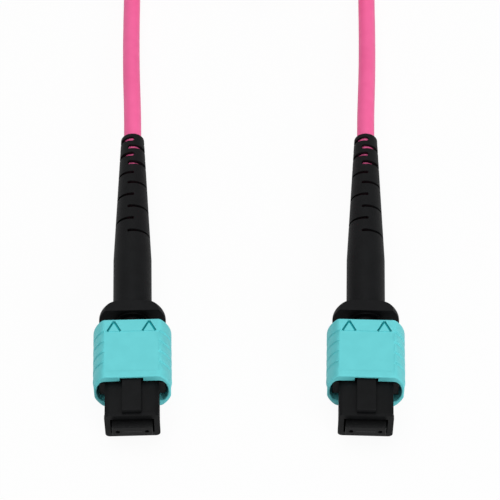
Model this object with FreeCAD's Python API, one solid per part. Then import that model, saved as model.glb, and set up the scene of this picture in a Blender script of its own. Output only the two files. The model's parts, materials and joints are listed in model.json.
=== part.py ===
import FreeCAD, Part
import math
import os

from FreeCAD import Placement, Rotation, Vector

# A fibre patch cable with a push-pull plug on each end, lying on a flat surface.
# Sizes are in millimetres. X runs across the two plugs, Y from the plugs to the cable, Z up.
# Each plug is drawn lying on its own axis, with y measured back from the ferrule's end face.

# Placing of the two ends
END_HALF_GAP = 18.4
END_SPLAY_DEG = 1.75

# Clearances
SEAT_GAP = 0.02
CLOSE_FIT = 0.05
RUNNING_GAP = 0.15
STOP_GAP = 0.26

# Ferrule
FERRULE_WIDTH = 6.4
FERRULE_HEIGHT = 2.5
FERRULE_LENGTH = 8.0
FERRULE_EDGE = 0.08
FERRULE_PROUD = 1.1
COLLAR_STEP_X = 0.3
COLLAR_STEP_Z = 0.25
COLLAR_LENGTH = 2.0
GUIDE_HOLE_DIA = 0.7
GUIDE_HOLE_PITCH = 4.6
FILL_WINDOW_WIDTH = 3.0
FILL_WINDOW_LENGTH = 1.6
FILL_WINDOW_DEPTH = 0.8
FILL_WINDOW_SETBACK = 3.5

# Fibre ribbon and the soft boot that holds it in the ferrule
RIBBON_WIDTH = 3.06
RIBBON_THICKNESS = 0.3
RIBBON_SLOT_GAP = 0.04
BUNDLE_DIA = 1.8
BUNDLE_FLAT = 0.45
FERRULE_BOOT_WALL_X = 0.2
FERRULE_BOOT_WALL_Z = 0.6
FERRULE_POCKET_DEPTH = 2.2

# Pin clamp
CLAMP_LENGTH = 1.6
CLAMP_BACK = 0.4
CLAMP_RIM_LENGTH = 0.6
CLAMP_RIM_WALL = 0.4
CLAMP_PIN_DIA = 1.2

# Ferrule spring
FERRULE_SPRING_LENGTH = 7.0
FERRULE_SPRING_WIRE = 0.4
FERRULE_SPRING_TURNS = 5

# Plug housing
MOUTH_GAP_X = 0.25
MOUTH_GAP_Z = 0.65
MOUTH_DEPTH = 2.0
TUNNEL_GAP = 0.1
CAVITY_GAP = 0.1
HOUSING_WALL_X = 0.7
HOUSING_WALL_Z = 1.15
HOUSING_LIP_LENGTH = 0.6
HOUSING_LIP_PROUD_X = 0.075
HOUSING_LIP_PROUD_Z = 0.2
HOUSING_LIP_ROUND = 0.55
SHOULDER_WIDTH = 0.9
SHOULDER_DROP = 0.4
KEY_WIDTH = 3.0
KEY_HEIGHT = 0.95
KEY_SETBACK = 0.5
KEY_CHAMFER = 0.35
KEY_OVERLAP = 4.0
KEYWAY_GAP = 0.23
KEYWAY_END_GAP = 1.0
LATCH_NOTCH_DEPTH = 0.5
LATCH_NOTCH_LENGTH = 2.0
LATCH_NOTCH_HEIGHT = 3.8
LATCH_NOTCH_SETBACK = 2.4

# Side channels on the housing, each holding one coupling spring
CHANNEL_REACH = 1.0
CHANNEL_WALL = 1.0
CHANNEL_RAIL = 0.9
CHANNEL_FRONT_INSET = 0.7
CHANNEL_SETBACK = 0.2
COUPLING_SPRING_DIA = 1.2
COUPLING_SPRING_WIRE = 0.22
COUPLING_SPRING_LENGTH = 5.85
COUPLING_SPRING_TURNS = 6
SPRING_ROOM = 0.1
SPRING_BEND_STEPS = 4

# Coupling sleeve
SLEEVE_LENGTH = 11.18
SLEEVE_TRAVEL = 2.2
SLEEVE_SIDE_WALL = 0.63
SLEEVE_TOP_WALL = 1.4
SLEEVE_CREASE = 0.35
SLEEVE_INNER_CREASE = 1.2
SLEEVE_RIM = 0.15
LUG_LENGTH = 0.9
GRIP_COUNT = 4
GRIP_PITCH = 1.97
GRIP_DEPTH = 0.25
GRIP_SIDE_DEPTH = 0.05
GRIP_REAR_SETBACK = 2.3
PANEL_DEPTH = 0.1
PANEL_FRONT_SETBACK = 1.1
PANEL_REAR_SETBACK = 2.3
PANEL_SIDE_MARGIN = 0.25
ARROW_OFFSET = 2.75
ARROW_HALF_WIDTH = 1.15
ARROW_LENGTH = 1.75
ARROW_SETBACK = 0.35
ARROW_LINE = 0.38
ARROW_DEPTH = 0.3

# Spring push with its crimp barrel
PUSH_PLUG_LENGTH = 2.0
PUSH_FLANGE_LENGTH = 0.8
PUSH_NECK_LENGTH = 1.5
PUSH_STOP_LENGTH = 0.3
PUSH_STOP_DIA = 5.5
PUSH_SLOT_GAP = 0.35
PUSH_SLOT_HEIGHT = 1.4
PUSH_BARREL_DIA = 4.0
PUSH_BARREL_LENGTH = 6.4
PUSH_BORE_DIA = 2.8
PUSH_GROOVES = 2
PUSH_GROOVE_DEPTH = 0.15
SNAP_WIDTH = 2.2
SNAP_LENGTH = 0.9
SNAP_HEIGHT = 0.5
SNAP_SETBACK = 0.5

# Aramid yarn and crimp ring
YARN_THICKNESS = 0.15
CRIMP_WALL = 0.4
CRIMP_FRONT_GAP = 0.2
CRIMP_CONE_LENGTH = 0.7
CRIMP_NECK_LENGTH = 2.8
CRIMP_FLAT_DEPTH = 0.12

# Strain relief boot
BOOT_LENGTH = 38.6
BOOT_WALL = 0.57
BOOT_BARREL_LENGTH = 8.2
BOOT_BORE_GAP = 0.1
BOOT_TIP_WALL = 0.38
BOOT_TIP_EDGE = 0.2
FLANGE_DIA = 10.9
FLANGE_HEIGHT = 6.6
FLANGE_THICKNESS = 2.3
FLANGE_ROUND = 1.95
SLIT_COUNT = 10
SLIT_WIDTH = 0.62
TIP_SLIT_COUNT = 4
TIP_SLIT_WIDTH = 0.95
SLIT_TIP_MARGIN = 1.3
SLIT_FIRST_PITCH = 1.8
SLIT_PITCH_STEP = 0.12
SLIT_PAST_TOP = {-1: 0.45, 1: 0.95}
SLIT_PAST_SIDE = 0.4

# Cable, its coil and the ties that hold the coil
CABLE_DIA = 3.0
CABLE_INSET = 0.3
COIL_Y = 94.0
COIL_MEAN_RADIUS = 18.0
COIL_SLOT_PITCH = 3.1
COIL_COLUMNS = 4
COIL_ROWS = 4
BUNDLE_CORNER = 1.0
TIE_THICKNESS = 0.5
TIE_SWEEP_DEG = 20.0
TIE_TAB_LENGTH = 7.0

# Sizes that follow from the ones above, across the axis
COLLAR_WIDTH = FERRULE_WIDTH + 2 * COLLAR_STEP_X
COLLAR_HEIGHT = FERRULE_HEIGHT + 2 * COLLAR_STEP_Z
CAVITY_WIDTH = COLLAR_WIDTH + 2 * CAVITY_GAP
CAVITY_HEIGHT = COLLAR_HEIGHT + 2 * CAVITY_GAP
HOUSING_WIDTH = CAVITY_WIDTH + 2 * HOUSING_WALL_X
HOUSING_HEIGHT = CAVITY_HEIGHT + 2 * HOUSING_WALL_Z
KEY_TOP = HOUSING_HEIGHT / 2 + KEY_HEIGHT
RIBBON_SLOT_WIDTH = RIBBON_WIDTH + 2 * RIBBON_SLOT_GAP
RIBBON_SLOT_HEIGHT = RIBBON_THICKNESS + 2 * RIBBON_SLOT_GAP
FERRULE_BOOT_WIDTH = RIBBON_SLOT_WIDTH + 2 * FERRULE_BOOT_WALL_X
FERRULE_BOOT_HEIGHT = RIBBON_SLOT_HEIGHT + 2 * FERRULE_BOOT_WALL_Z
CHANNEL_X = HOUSING_WIDTH / 2
CHANNEL_HALF_HEIGHT = COUPLING_SPRING_DIA / 2 + SPRING_ROOM
LATCH_SPACE = COUPLING_SPRING_DIA + 2 * SPRING_ROOM
COUPLING_SPRING_X = CHANNEL_X + LATCH_SPACE / 2
SLEEVE_INNER_DIA = HOUSING_WIDTH + 2 * LATCH_SPACE
SLEEVE_INNER_HEIGHT = HOUSING_HEIGHT + 2 * RUNNING_GAP
SLEEVE_DIA = SLEEVE_INNER_DIA + 2 * SLEEVE_SIDE_WALL
SLEEVE_HEIGHT = SLEEVE_INNER_HEIGHT + 2 * SLEEVE_TOP_WALL
SLEEVE_FLAT_WIDTH = math.sqrt(SLEEVE_DIA ** 2 - SLEEVE_HEIGHT ** 2)
GRIP_REACH = (SLEEVE_DIA - SLEEVE_FLAT_WIDTH) / 2 + GRIP_DEPTH - GRIP_SIDE_DEPTH
GRIP_RADIUS = (GRIP_REACH ** 2 + SLEEVE_HEIGHT ** 2 / 4) / (2 * GRIP_REACH)
GRIP_SHIFT = SLEEVE_DIA / 2 - GRIP_SIDE_DEPTH - GRIP_RADIUS
GRIP_FRONT_RADIUS = math.hypot(SLEEVE_FLAT_WIDTH / 2 - GRIP_SHIFT, SLEEVE_HEIGHT / 2)
AXIS_HEIGHT = SLEEVE_HEIGHT / 2
CRIMP_INNER_DIA = PUSH_BARREL_DIA + 2 * YARN_THICKNESS
CRIMP_DIA = CRIMP_INNER_DIA + 2 * CRIMP_WALL
CRIMP_NECK_INNER_DIA = CABLE_DIA + 2 * SEAT_GAP
CRIMP_NECK_DIA = CRIMP_NECK_INNER_DIA + 2 * CRIMP_WALL
BOOT_POCKET_DIA = max(CRIMP_DIA, CRIMP_NECK_DIA) + 2 * CLOSE_FIT
BOOT_BARREL_DIA = BOOT_POCKET_DIA + 2 * BOOT_WALL
BOOT_BORE_DIA = CABLE_DIA + 2 * BOOT_BORE_GAP
BOOT_TIP_DIA = BOOT_BORE_DIA + 2 * BOOT_TIP_WALL

# Places along the axis, counted back from the ferrule's end face
HOUSING_FRONT = FERRULE_PROUD
COLLAR_FRONT = FERRULE_LENGTH - COLLAR_LENGTH
CLAMP_FRONT = FERRULE_LENGTH
CLAMP_REAR = CLAMP_FRONT + CLAMP_LENGTH
PUSH_FRONT = CLAMP_REAR + FERRULE_SPRING_LENGTH
HOUSING_REAR = PUSH_FRONT + PUSH_PLUG_LENGTH
SNAP_REAR = HOUSING_REAR - SNAP_SETBACK
SNAP_FRONT = SNAP_REAR - SNAP_LENGTH
PUSH_FLANGE_REAR = HOUSING_REAR + PUSH_FLANGE_LENGTH
PUSH_STOP_FRONT = PUSH_FLANGE_REAR + PUSH_NECK_LENGTH
BOOT_FRONT = PUSH_STOP_FRONT + PUSH_STOP_LENGTH
BARREL_END = BOOT_FRONT + PUSH_BARREL_LENGTH
CRIMP_CONE_END = BARREL_END + CABLE_INSET + CRIMP_CONE_LENGTH
CRIMP_END = CRIMP_CONE_END + CRIMP_NECK_LENGTH
CABLE_START = BARREL_END + CABLE_INSET
BOOT_END = BOOT_FRONT + BOOT_LENGTH
SLEEVE_REAR = BOOT_FRONT - SLEEVE_TRAVEL - STOP_GAP
SLEEVE_FRONT = SLEEVE_REAR - SLEEVE_LENGTH
KEY_FRONT = HOUSING_FRONT + KEY_SETBACK
KEY_REAR = SLEEVE_FRONT + KEY_OVERLAP
CHANNEL_REAR = HOUSING_REAR - CHANNEL_SETBACK
SPRING_SEAT = CHANNEL_REAR - CHANNEL_WALL
LUG_REAR = SPRING_SEAT - COUPLING_SPRING_LENGTH
LUG_FRONT = LUG_REAR - LUG_LENGTH
CHANNEL_STOP = LUG_FRONT - CLOSE_FIT
CHANNEL_FRONT = SLEEVE_FRONT + CHANNEL_FRONT_INSET
END_FRONT_Y = -BOOT_END / 2 * math.cos(math.radians(END_SPLAY_DEG))

# Sizes of the coil's bundle
COIL_BASE = TIE_THICKNESS + CLOSE_FIT
BUNDLE_WIDTH = (COIL_COLUMNS - 1) * COIL_SLOT_PITCH + CABLE_DIA
BUNDLE_HEIGHT = (COIL_ROWS - 1) * COIL_SLOT_PITCH + CABLE_DIA

# The free runs of cable, from the boot's mouth to the side of the coil.
# The first point is the mouth and the second lies on the boot's axis, this far behind it.
RUN_LEAD = 6.0
RUN_A = [
    (-21.0, 46.2, 3.7),
    (-21.4, 57.2, 2.2),
    (-21.6, 69.0, 1.55),
    (-22.2, 81.5, 1.75),
    (-22.65, 93.0, 2.0),
]
RUN_B = [
    (21.0, 46.2, 3.6),
    (21.4, 57.2, 2.0),
    (21.6, 69.0, 1.8),
    (22.2, 81.5, 3.6),
    (22.65, 93.0, 5.1),
]
ARC_SHARE = 0.45


def block(x_low, x_high, y_low, y_high, z_low, z_high):
    """A box between two corners."""
    return Part.makeBox(x_high - x_low, y_high - y_low, z_high - z_low, Vector(x_low, y_low, z_low))


def bar(width, height, y_low, y_high):
    """A box centred on the plug's axis."""
    return block(-width / 2, width / 2, y_low, y_high, -height / 2, height / 2)


def rod(diameter, y_low, y_high, x=0.0, z=0.0):
    """A cylinder along the plug's axis."""
    return Part.makeCylinder(diameter / 2, y_high - y_low, Vector(x, y_low, z), Vector(0, 1, 0))


def flattened_rod(diameter, height, y_low, y_high):
    """A cylinder along the axis with a flat at the top and another at the bottom."""
    return rod(diameter, y_low, y_high).common(bar(diameter, height, y_low, y_high))


def turned(points):
    """A solid turned about the plug's axis from an outline of (radius, y) points."""
    outline = [Vector(radius, y, 0) for radius, y in points]
    outline.append(outline[0])
    face = Part.Face(Part.makePolygon(outline))
    return face.revolve(Vector(0, 0, 0), Vector(0, 1, 0), 360)


def flat_outline(points, z_low, z_high):
    """An upright prism over an outline of (x, y) points."""
    corners = [Vector(x, y, z_low) for x, y in points]
    corners.append(corners[0])
    return Part.Face(Part.makePolygon(corners)).extrude(Vector(0, 0, z_high - z_low))


def end_outline(points, y_low, y_high):
    """A prism along the axis over an outline of (x, z) points."""
    corners = [Vector(x, y_low, z) for x, z in points]
    corners.append(corners[0])
    return Part.Face(Part.makePolygon(corners)).extrude(Vector(0, y_high - y_low, 0))


def side_outline(points, width):
    """A prism across the axis, centred on it, over an outline of (y, z) points."""
    corners = [Vector(-width / 2, y, z) for y, z in points]
    corners.append(corners[0])
    return Part.Face(Part.makePolygon(corners)).extrude(Vector(width, 0, 0))


def long_edges(shape):
    """The straight edges that run along the plug's axis."""
    straight = [edge for edge in shape.Edges if isinstance(edge.Curve, Part.Line)]
    return [edge for edge in straight if abs(edge.tangentAt(edge.FirstParameter).y) > 0.99]


def edges_at(shape, y):
    """The edges that lie flat in the plane at y."""
    flat = [edge for edge in shape.Edges if edge.BoundBox.YLength < 1e-4]
    return [edge for edge in flat if abs(edge.BoundBox.YMin - y) < 1e-4]


def slot_wire(half_straight, radius, y):
    """A flat-sided oval outline across the axis."""
    right = Vector(half_straight + radius, y, 0)
    left = Vector(-half_straight - radius, y, 0)
    top_left = Vector(-half_straight, y, radius)
    top_right = Vector(half_straight, y, radius)
    low_left = Vector(-half_straight, y, -radius)
    low_right = Vector(half_straight, y, -radius)
    edges = [
        Part.LineSegment(top_left, top_right),
        Part.Arc(top_right, right, low_right),
        Part.LineSegment(low_right, low_left),
        Part.Arc(low_left, left, top_left),
    ]
    return Part.Wire([edge.toShape() for edge in edges])


def oval_rod(width, height, y_low, y_high):
    """A flat-sided oval bar along the axis."""
    wire = slot_wire((width - height) / 2, height / 2, y_low)
    return Part.Face(wire).extrude(Vector(0, y_high - y_low, 0))


def wire_section(centre, outward, wire_dia):
    """A square section of spring wire, of the same area as the round one."""
    half = wire_dia * math.sqrt(math.pi) / 4
    along = Vector(0, half, 0)
    across = outward * half
    inner = centre - across
    outer = centre + across
    corners = [outer + along, inner + along, inner - along, outer - along]
    return Part.makePolygon(corners + corners[:1])


def coil_spring(centre_x, half_straight, bend_radius, wire_dia, y_low, y_high, turns):
    """A coil spring, lofted through sections of its wire. Its bends climb and its straight runs lie level."""
    climb = (y_high - y_low - wire_dia) / (2 * turns)
    sections = []
    for half_turn in range(2 * turns):
        bend_x = centre_x + half_straight * (-1) ** half_turn
        first_step = 0 if half_turn == 0 or half_straight > 0 else 1
        for step in range(first_step, SPRING_BEND_STEPS + 1):
            share = half_turn + step / SPRING_BEND_STEPS
            outward = Vector(math.sin(math.pi * share), 0, math.cos(math.pi * share))
            seat = Vector(bend_x, y_low + wire_dia / 2 + climb * share, 0)
            sections.append(wire_section(seat + outward * bend_radius, outward, wire_dia))
    return Part.makeLoft(sections, True, True)


def ferrule():
    """The end piece with its guide-pin holes, filling window and rear pocket."""
    body = bar(FERRULE_WIDTH, FERRULE_HEIGHT, 0, FERRULE_LENGTH)
    body = body.makeChamfer(FERRULE_EDGE, edges_at(body, 0))
    collar = bar(COLLAR_WIDTH, COLLAR_HEIGHT, COLLAR_FRONT + SEAT_GAP, FERRULE_LENGTH)
    body = body.fuse(collar).removeSplitter()
    for side in (-1, 1):
        body = body.cut(rod(GUIDE_HOLE_DIA, 0, FERRULE_LENGTH, side * GUIDE_HOLE_PITCH / 2))
    top = FERRULE_HEIGHT / 2
    half = FILL_WINDOW_WIDTH / 2
    rear = FILL_WINDOW_SETBACK + FILL_WINDOW_LENGTH
    body = body.cut(block(-half, half, FILL_WINDOW_SETBACK, rear, top - FILL_WINDOW_DEPTH, top))
    pocket_width = FERRULE_BOOT_WIDTH + 2 * CLOSE_FIT
    pocket_height = FERRULE_BOOT_HEIGHT + 2 * CLOSE_FIT
    return body.cut(bar(pocket_width, pocket_height, FERRULE_LENGTH - FERRULE_POCKET_DEPTH, FERRULE_LENGTH))


def ferrule_boot():
    """The soft sleeve that holds the ribbon in the ferrule's pocket and reaches into the pin clamp."""
    front = FERRULE_LENGTH - FERRULE_POCKET_DEPTH
    rear = CLAMP_REAR - CLAMP_BACK
    body = bar(FERRULE_BOOT_WIDTH, FERRULE_BOOT_HEIGHT, front, rear)
    return body.cut(bar(RIBBON_SLOT_WIDTH, RIBBON_SLOT_HEIGHT, front, rear))


def pin_clamp():
    """The frame behind the ferrule, with open pin seats and an oval rim that centres the spring."""
    rim_end = CLAMP_REAR + CLAMP_RIM_LENGTH
    rim_width = RIBBON_SLOT_WIDTH + 2 * CLAMP_RIM_WALL
    rim_height = RIBBON_SLOT_HEIGHT + 2 * CLAMP_RIM_WALL
    seat_width = FERRULE_BOOT_WIDTH + 2 * CLOSE_FIT
    seat_height = FERRULE_BOOT_HEIGHT + 2 * CLOSE_FIT
    body = bar(COLLAR_WIDTH, COLLAR_HEIGHT, CLAMP_FRONT, CLAMP_REAR)
    body = body.fuse(oval_rod(rim_width, rim_height, CLAMP_REAR, rim_end))
    body = body.cut(bar(seat_width, seat_height, CLAMP_FRONT, CLAMP_REAR - CLAMP_BACK))
    body = body.cut(bar(RIBBON_SLOT_WIDTH, RIBBON_SLOT_HEIGHT, CLAMP_FRONT, rim_end))
    for side in (-1, 1):
        body = body.cut(rod(CLAMP_PIN_DIA, CLAMP_FRONT, CLAMP_REAR, side * GUIDE_HOLE_PITCH / 2))
    return body


def ferrule_spring():
    """The oval spring between the pin clamp and the spring push."""
    bend_radius = (COLLAR_HEIGHT - FERRULE_SPRING_WIRE) / 2 - CLOSE_FIT
    half_straight = COLLAR_WIDTH / 2 - CLOSE_FIT - FERRULE_SPRING_WIRE / 2 - bend_radius
    return coil_spring(0, half_straight, bend_radius, FERRULE_SPRING_WIRE, CLAMP_REAR, PUSH_FRONT,
                       FERRULE_SPRING_TURNS)


def fibre_ribbon():
    """The flat ribbon from the ferrule, gathered to a round bundle inside the spring push."""
    front = FERRULE_LENGTH - FERRULE_POCKET_DEPTH
    ribbon = oval_rod(RIBBON_WIDTH, RIBBON_THICKNESS, front, PUSH_FRONT)
    ribbon_wire = slot_wire((RIBBON_WIDTH - RIBBON_THICKNESS) / 2, RIBBON_THICKNESS / 2, PUSH_FRONT)
    bundle_wire = slot_wire(BUNDLE_FLAT / 2, (BUNDLE_DIA - BUNDLE_FLAT) / 2, HOUSING_REAR)
    gather = Part.makeLoft([ribbon_wire, bundle_wire], True, True)
    bundle = Part.Face(bundle_wire).extrude(Vector(0, CABLE_START - HOUSING_REAR, 0))
    return ribbon.fuse([gather, bundle]).removeSplitter()


def shouldered_outline():
    """The plug's end outline, with a shallow sloping shoulder at each corner."""
    half_width = HOUSING_WIDTH / 2
    half_height = HOUSING_HEIGHT / 2
    corner = [(half_width, half_height - SHOULDER_DROP), (half_width - SHOULDER_WIDTH, half_height)]
    top = corner + [(-x, z) for x, z in reversed(corner)]
    return top + [(x, -z) for x, z in reversed(top)]


def side_channel(side):
    """The open frame on one side of the housing in which a coupling spring lies."""
    half_height = CHANNEL_HALF_HEIGHT + CHANNEL_RAIL
    x_range = sorted((side * (CHANNEL_X - CLOSE_FIT), side * (CHANNEL_X + CHANNEL_REACH)))
    frame = block(*x_range, CHANNEL_FRONT, CHANNEL_REAR, -half_height, half_height)
    x_range = sorted((side * CHANNEL_X, side * (CHANNEL_X + LATCH_SPACE)))
    return frame.cut(block(*x_range, CHANNEL_STOP, SPRING_SEAT, -CHANNEL_HALF_HEIGHT, CHANNEL_HALF_HEIGHT))


def plug_housing():
    """The inner plug: lip, key, latch notches, spring channels and the stepped hole for the ferrule."""
    lip_width = HOUSING_WIDTH + 2 * HOUSING_LIP_PROUD_X
    lip_height = HOUSING_HEIGHT + 2 * HOUSING_LIP_PROUD_Z
    lip_rear = HOUSING_FRONT + HOUSING_LIP_LENGTH
    lip = bar(lip_width, lip_height, HOUSING_FRONT, lip_rear)
    lip = lip.makeFillet(HOUSING_LIP_ROUND, long_edges(lip))
    body = lip.fuse(end_outline(shouldered_outline(), lip_rear, HOUSING_REAR))
    key_base = HOUSING_HEIGHT / 2 - HOUSING_WALL_Z / 2
    key_side = [
        (KEY_FRONT, key_base),
        (KEY_FRONT, KEY_TOP - KEY_CHAMFER),
        (KEY_FRONT + KEY_CHAMFER, KEY_TOP),
        (KEY_REAR, KEY_TOP),
        (KEY_REAR, key_base),
    ]
    body = body.fuse([side_outline(key_side, KEY_WIDTH), side_channel(-1), side_channel(1)])
    mouth_end = HOUSING_FRONT + MOUTH_DEPTH
    mouth = bar(FERRULE_WIDTH + 2 * MOUTH_GAP_X, FERRULE_HEIGHT + 2 * MOUTH_GAP_Z, HOUSING_FRONT, mouth_end)
    tunnel = bar(FERRULE_WIDTH + 2 * TUNNEL_GAP, FERRULE_HEIGHT + 2 * TUNNEL_GAP, mouth_end, COLLAR_FRONT)
    cavity = bar(CAVITY_WIDTH, CAVITY_HEIGHT, COLLAR_FRONT, HOUSING_REAR)
    cutters = [mouth, tunnel, cavity]
    notch_front = HOUSING_FRONT + LATCH_NOTCH_SETBACK
    notch_rear = notch_front + LATCH_NOTCH_LENGTH
    notch_half = LATCH_NOTCH_HEIGHT / 2
    for side in (-1, 1):
        x_range = sorted((side * (HOUSING_WIDTH / 2 - LATCH_NOTCH_DEPTH), side * HOUSING_WIDTH / 2))
        cutters.append(block(*x_range, notch_front, notch_rear, -notch_half, notch_half))
    window_half = SNAP_WIDTH / 2 + CLOSE_FIT
    cutters.append(block(-window_half, window_half, SNAP_FRONT - CLOSE_FIT, SNAP_REAR + CLOSE_FIT,
                         -HOUSING_HEIGHT / 2, HOUSING_HEIGHT / 2))
    for cutter in cutters:
        body = body.cut(cutter)
    return body.removeSplitter()


def grip_tooth(rear, side):
    """What is cut from one round side of the sleeve for a saw-tooth, deepest by the flats."""
    outside = SLEEVE_DIA
    front = rear - GRIP_PITCH
    ring = turned([(GRIP_RADIUS, rear), (GRIP_FRONT_RADIUS, front), (outside, front), (outside, rear)])
    ring.translate(Vector(side * GRIP_SHIFT, 0, 0))
    half_height = SLEEVE_HEIGHT / 2
    x_range = sorted((side * GRIP_SHIFT, side * outside))
    return ring.common(block(*x_range, front, rear, -half_height, half_height))


def arrow_groove(centre_x):
    """One pull arrow, a chevron groove in the sleeve's top that points to the cable."""
    tip = SLEEVE_REAR - ARROW_SETBACK
    foot = tip - ARROW_LENGTH
    drop = ARROW_LINE * math.hypot(ARROW_HALF_WIDTH, ARROW_LENGTH) / ARROW_HALF_WIDTH
    inner_half = ARROW_HALF_WIDTH * (ARROW_LENGTH - drop) / ARROW_LENGTH
    outline = [
        (centre_x, tip),
        (centre_x + ARROW_HALF_WIDTH, foot),
        (centre_x + inner_half, foot),
        (centre_x, tip - drop),
        (centre_x - inner_half, foot),
        (centre_x - ARROW_HALF_WIDTH, foot),
    ]
    return flat_outline(outline, SLEEVE_HEIGHT / 2 - ARROW_DEPTH, SLEEVE_HEIGHT / 2)


def coupling_sleeve():
    """The push-pull sleeve: round sides, flat top and bottom, keyway, spring lugs, grips and pull arrows."""
    body = flattened_rod(SLEEVE_DIA, SLEEVE_HEIGHT, SLEEVE_FRONT, SLEEVE_REAR)
    body = body.makeFillet(SLEEVE_CREASE, long_edges(body))
    body = body.makeChamfer(SLEEVE_RIM, edges_at(body, SLEEVE_FRONT) + edges_at(body, SLEEVE_REAR))
    hole = flattened_rod(SLEEVE_INNER_DIA, SLEEVE_INNER_HEIGHT, SLEEVE_FRONT, SLEEVE_REAR)
    body = body.cut(hole.makeFillet(SLEEVE_INNER_CREASE, long_edges(hole)))
    keyway_half = KEY_WIDTH / 2 + KEYWAY_GAP
    keyway_end = KEY_REAR + KEYWAY_END_GAP
    keyway_top = KEY_TOP + KEYWAY_GAP
    body = body.cut(block(-keyway_half, keyway_half, SLEEVE_FRONT, keyway_end, 0, keyway_top))
    lug_half = CHANNEL_HALF_HEIGHT - SPRING_ROOM
    for side in (-1, 1):
        lug_root = (SLEEVE_INNER_DIA + SLEEVE_SIDE_WALL) / 2
        x_range = sorted((side * (CHANNEL_X + SPRING_ROOM), side * lug_root))
        body = body.fuse(block(*x_range, LUG_FRONT, LUG_REAR, -lug_half, lug_half))
    panel_half = SLEEVE_FLAT_WIDTH / 2 - PANEL_SIDE_MARGIN
    panel_front = SLEEVE_FRONT + PANEL_FRONT_SETBACK
    panel_rear = SLEEVE_REAR - PANEL_REAR_SETBACK
    top = SLEEVE_HEIGHT / 2
    cutters = [block(-panel_half, panel_half, panel_front, panel_rear, top - PANEL_DEPTH, top)]
    cutters += [arrow_groove(side * ARROW_OFFSET) for side in (-1, 1)]
    last_tooth = SLEEVE_REAR - GRIP_REAR_SETBACK
    for side in (-1, 1):
        cutters += [grip_tooth(last_tooth - index * GRIP_PITCH, side) for index in range(GRIP_COUNT)]
    for cutter in cutters:
        body = body.cut(cutter)
    return body


def coupling_spring(side):
    """One of the two springs that push the sleeve forward."""
    bend_radius = (COUPLING_SPRING_DIA - COUPLING_SPRING_WIRE) / 2
    return coil_spring(side * COUPLING_SPRING_X, 0, bend_radius, COUPLING_SPRING_WIRE, LUG_REAR, SPRING_SEAT,
                       COUPLING_SPRING_TURNS)


def snap_hook():
    """The ramped hook on the spring push that snaps into the housing's window."""
    base = CAVITY_HEIGHT / 2 - CLOSE_FIT
    ramp = [(SNAP_FRONT, base), (SNAP_REAR, base + SNAP_HEIGHT), (SNAP_REAR, base)]
    return side_outline(ramp, SNAP_WIDTH)


def spring_push():
    """The rear block of the plug: snap hooks, flange, neck, the boot's stop and a grooved crimp barrel."""
    body = bar(CAVITY_WIDTH - 2 * CLOSE_FIT, CAVITY_HEIGHT - 2 * CLOSE_FIT, PUSH_FRONT, HOUSING_REAR)
    hook = snap_hook()
    body = body.fuse([
        end_outline(shouldered_outline(), HOUSING_REAR, PUSH_FLANGE_REAR),
        rod(PUSH_BARREL_DIA, PUSH_FLANGE_REAR, BARREL_END),
        rod(PUSH_STOP_DIA, PUSH_STOP_FRONT, BOOT_FRONT),
        hook,
        hook.mirror(Vector(0, 0, 0), Vector(0, 0, 1)),
    ])
    body = body.cut(oval_rod(RIBBON_WIDTH + 2 * PUSH_SLOT_GAP, PUSH_SLOT_HEIGHT, PUSH_FRONT, HOUSING_REAR))
    body = body.cut(rod(PUSH_BORE_DIA, HOUSING_REAR, BARREL_END))
    pitch = PUSH_BARREL_LENGTH / (2 * PUSH_GROOVES + 1)
    root = PUSH_BARREL_DIA / 2 - PUSH_GROOVE_DEPTH
    outside = PUSH_BARREL_DIA
    for index in range(PUSH_GROOVES):
        front = BOOT_FRONT + (2 * index + 1) * pitch
        rear = front + pitch
        body = body.cut(turned([(root, front), (outside, front), (outside, rear), (root, rear)]))
    return body.removeSplitter()


def aramid_yarn():
    """The yarn folded out of the cable and forward over the crimp barrel."""
    inner = PUSH_BARREL_DIA / 2 + SEAT_GAP
    outer = CRIMP_INNER_DIA / 2 - SEAT_GAP
    hole = BUNDLE_DIA / 2 + CLOSE_FIT
    front = BOOT_FRONT + CRIMP_FRONT_GAP
    fold = BARREL_END + SEAT_GAP
    rear = CABLE_START - SEAT_GAP
    return turned([(inner, front), (outer, front), (outer, rear), (hole, rear), (hole, fold), (inner, fold)])


def crimp_ring():
    """The ring pressed over the yarn, with hexagonal flats, and its neck on the cable's jacket."""
    inner = CRIMP_INNER_DIA / 2
    outer = CRIMP_DIA / 2
    neck_inner = CRIMP_NECK_INNER_DIA / 2
    neck_outer = CRIMP_NECK_DIA / 2
    front = BOOT_FRONT + CRIMP_FRONT_GAP
    body = turned([
        (inner, front),
        (outer, front),
        (outer, CABLE_START),
        (neck_outer, CRIMP_CONE_END),
        (neck_outer, CRIMP_END),
        (neck_inner, CRIMP_END),
        (neck_inner, CRIMP_CONE_END),
        (inner, CABLE_START),
    ])
    corner_radius = (outer - CRIMP_FLAT_DEPTH) / math.cos(math.pi / 6)
    hexagon = [(corner_radius * math.cos(k * math.pi / 3), corner_radius * math.sin(k * math.pi / 3))
               for k in range(6)]
    pressed_front = front + CRIMP_WALL
    pressed_rear = BARREL_END - CRIMP_WALL
    waste = rod(CRIMP_DIA + CRIMP_WALL, pressed_front, pressed_rear)
    return body.cut(waste.cut(end_outline(hexagon, pressed_front, pressed_rear)))


def slit_places():
    """Each slit's place from the tip to the plug, its width, and the side that its upper half opens to."""
    place = BOOT_END - SLIT_TIP_MARGIN
    places = []
    for index in range(SLIT_COUNT):
        width = TIP_SLIT_WIDTH if index < TIP_SLIT_COUNT else SLIT_WIDTH
        places.append((place, width, -1 if index % 2 == 0 else 1))
        place -= SLIT_FIRST_PITCH + index * SLIT_PITCH_STEP
    return places


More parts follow.
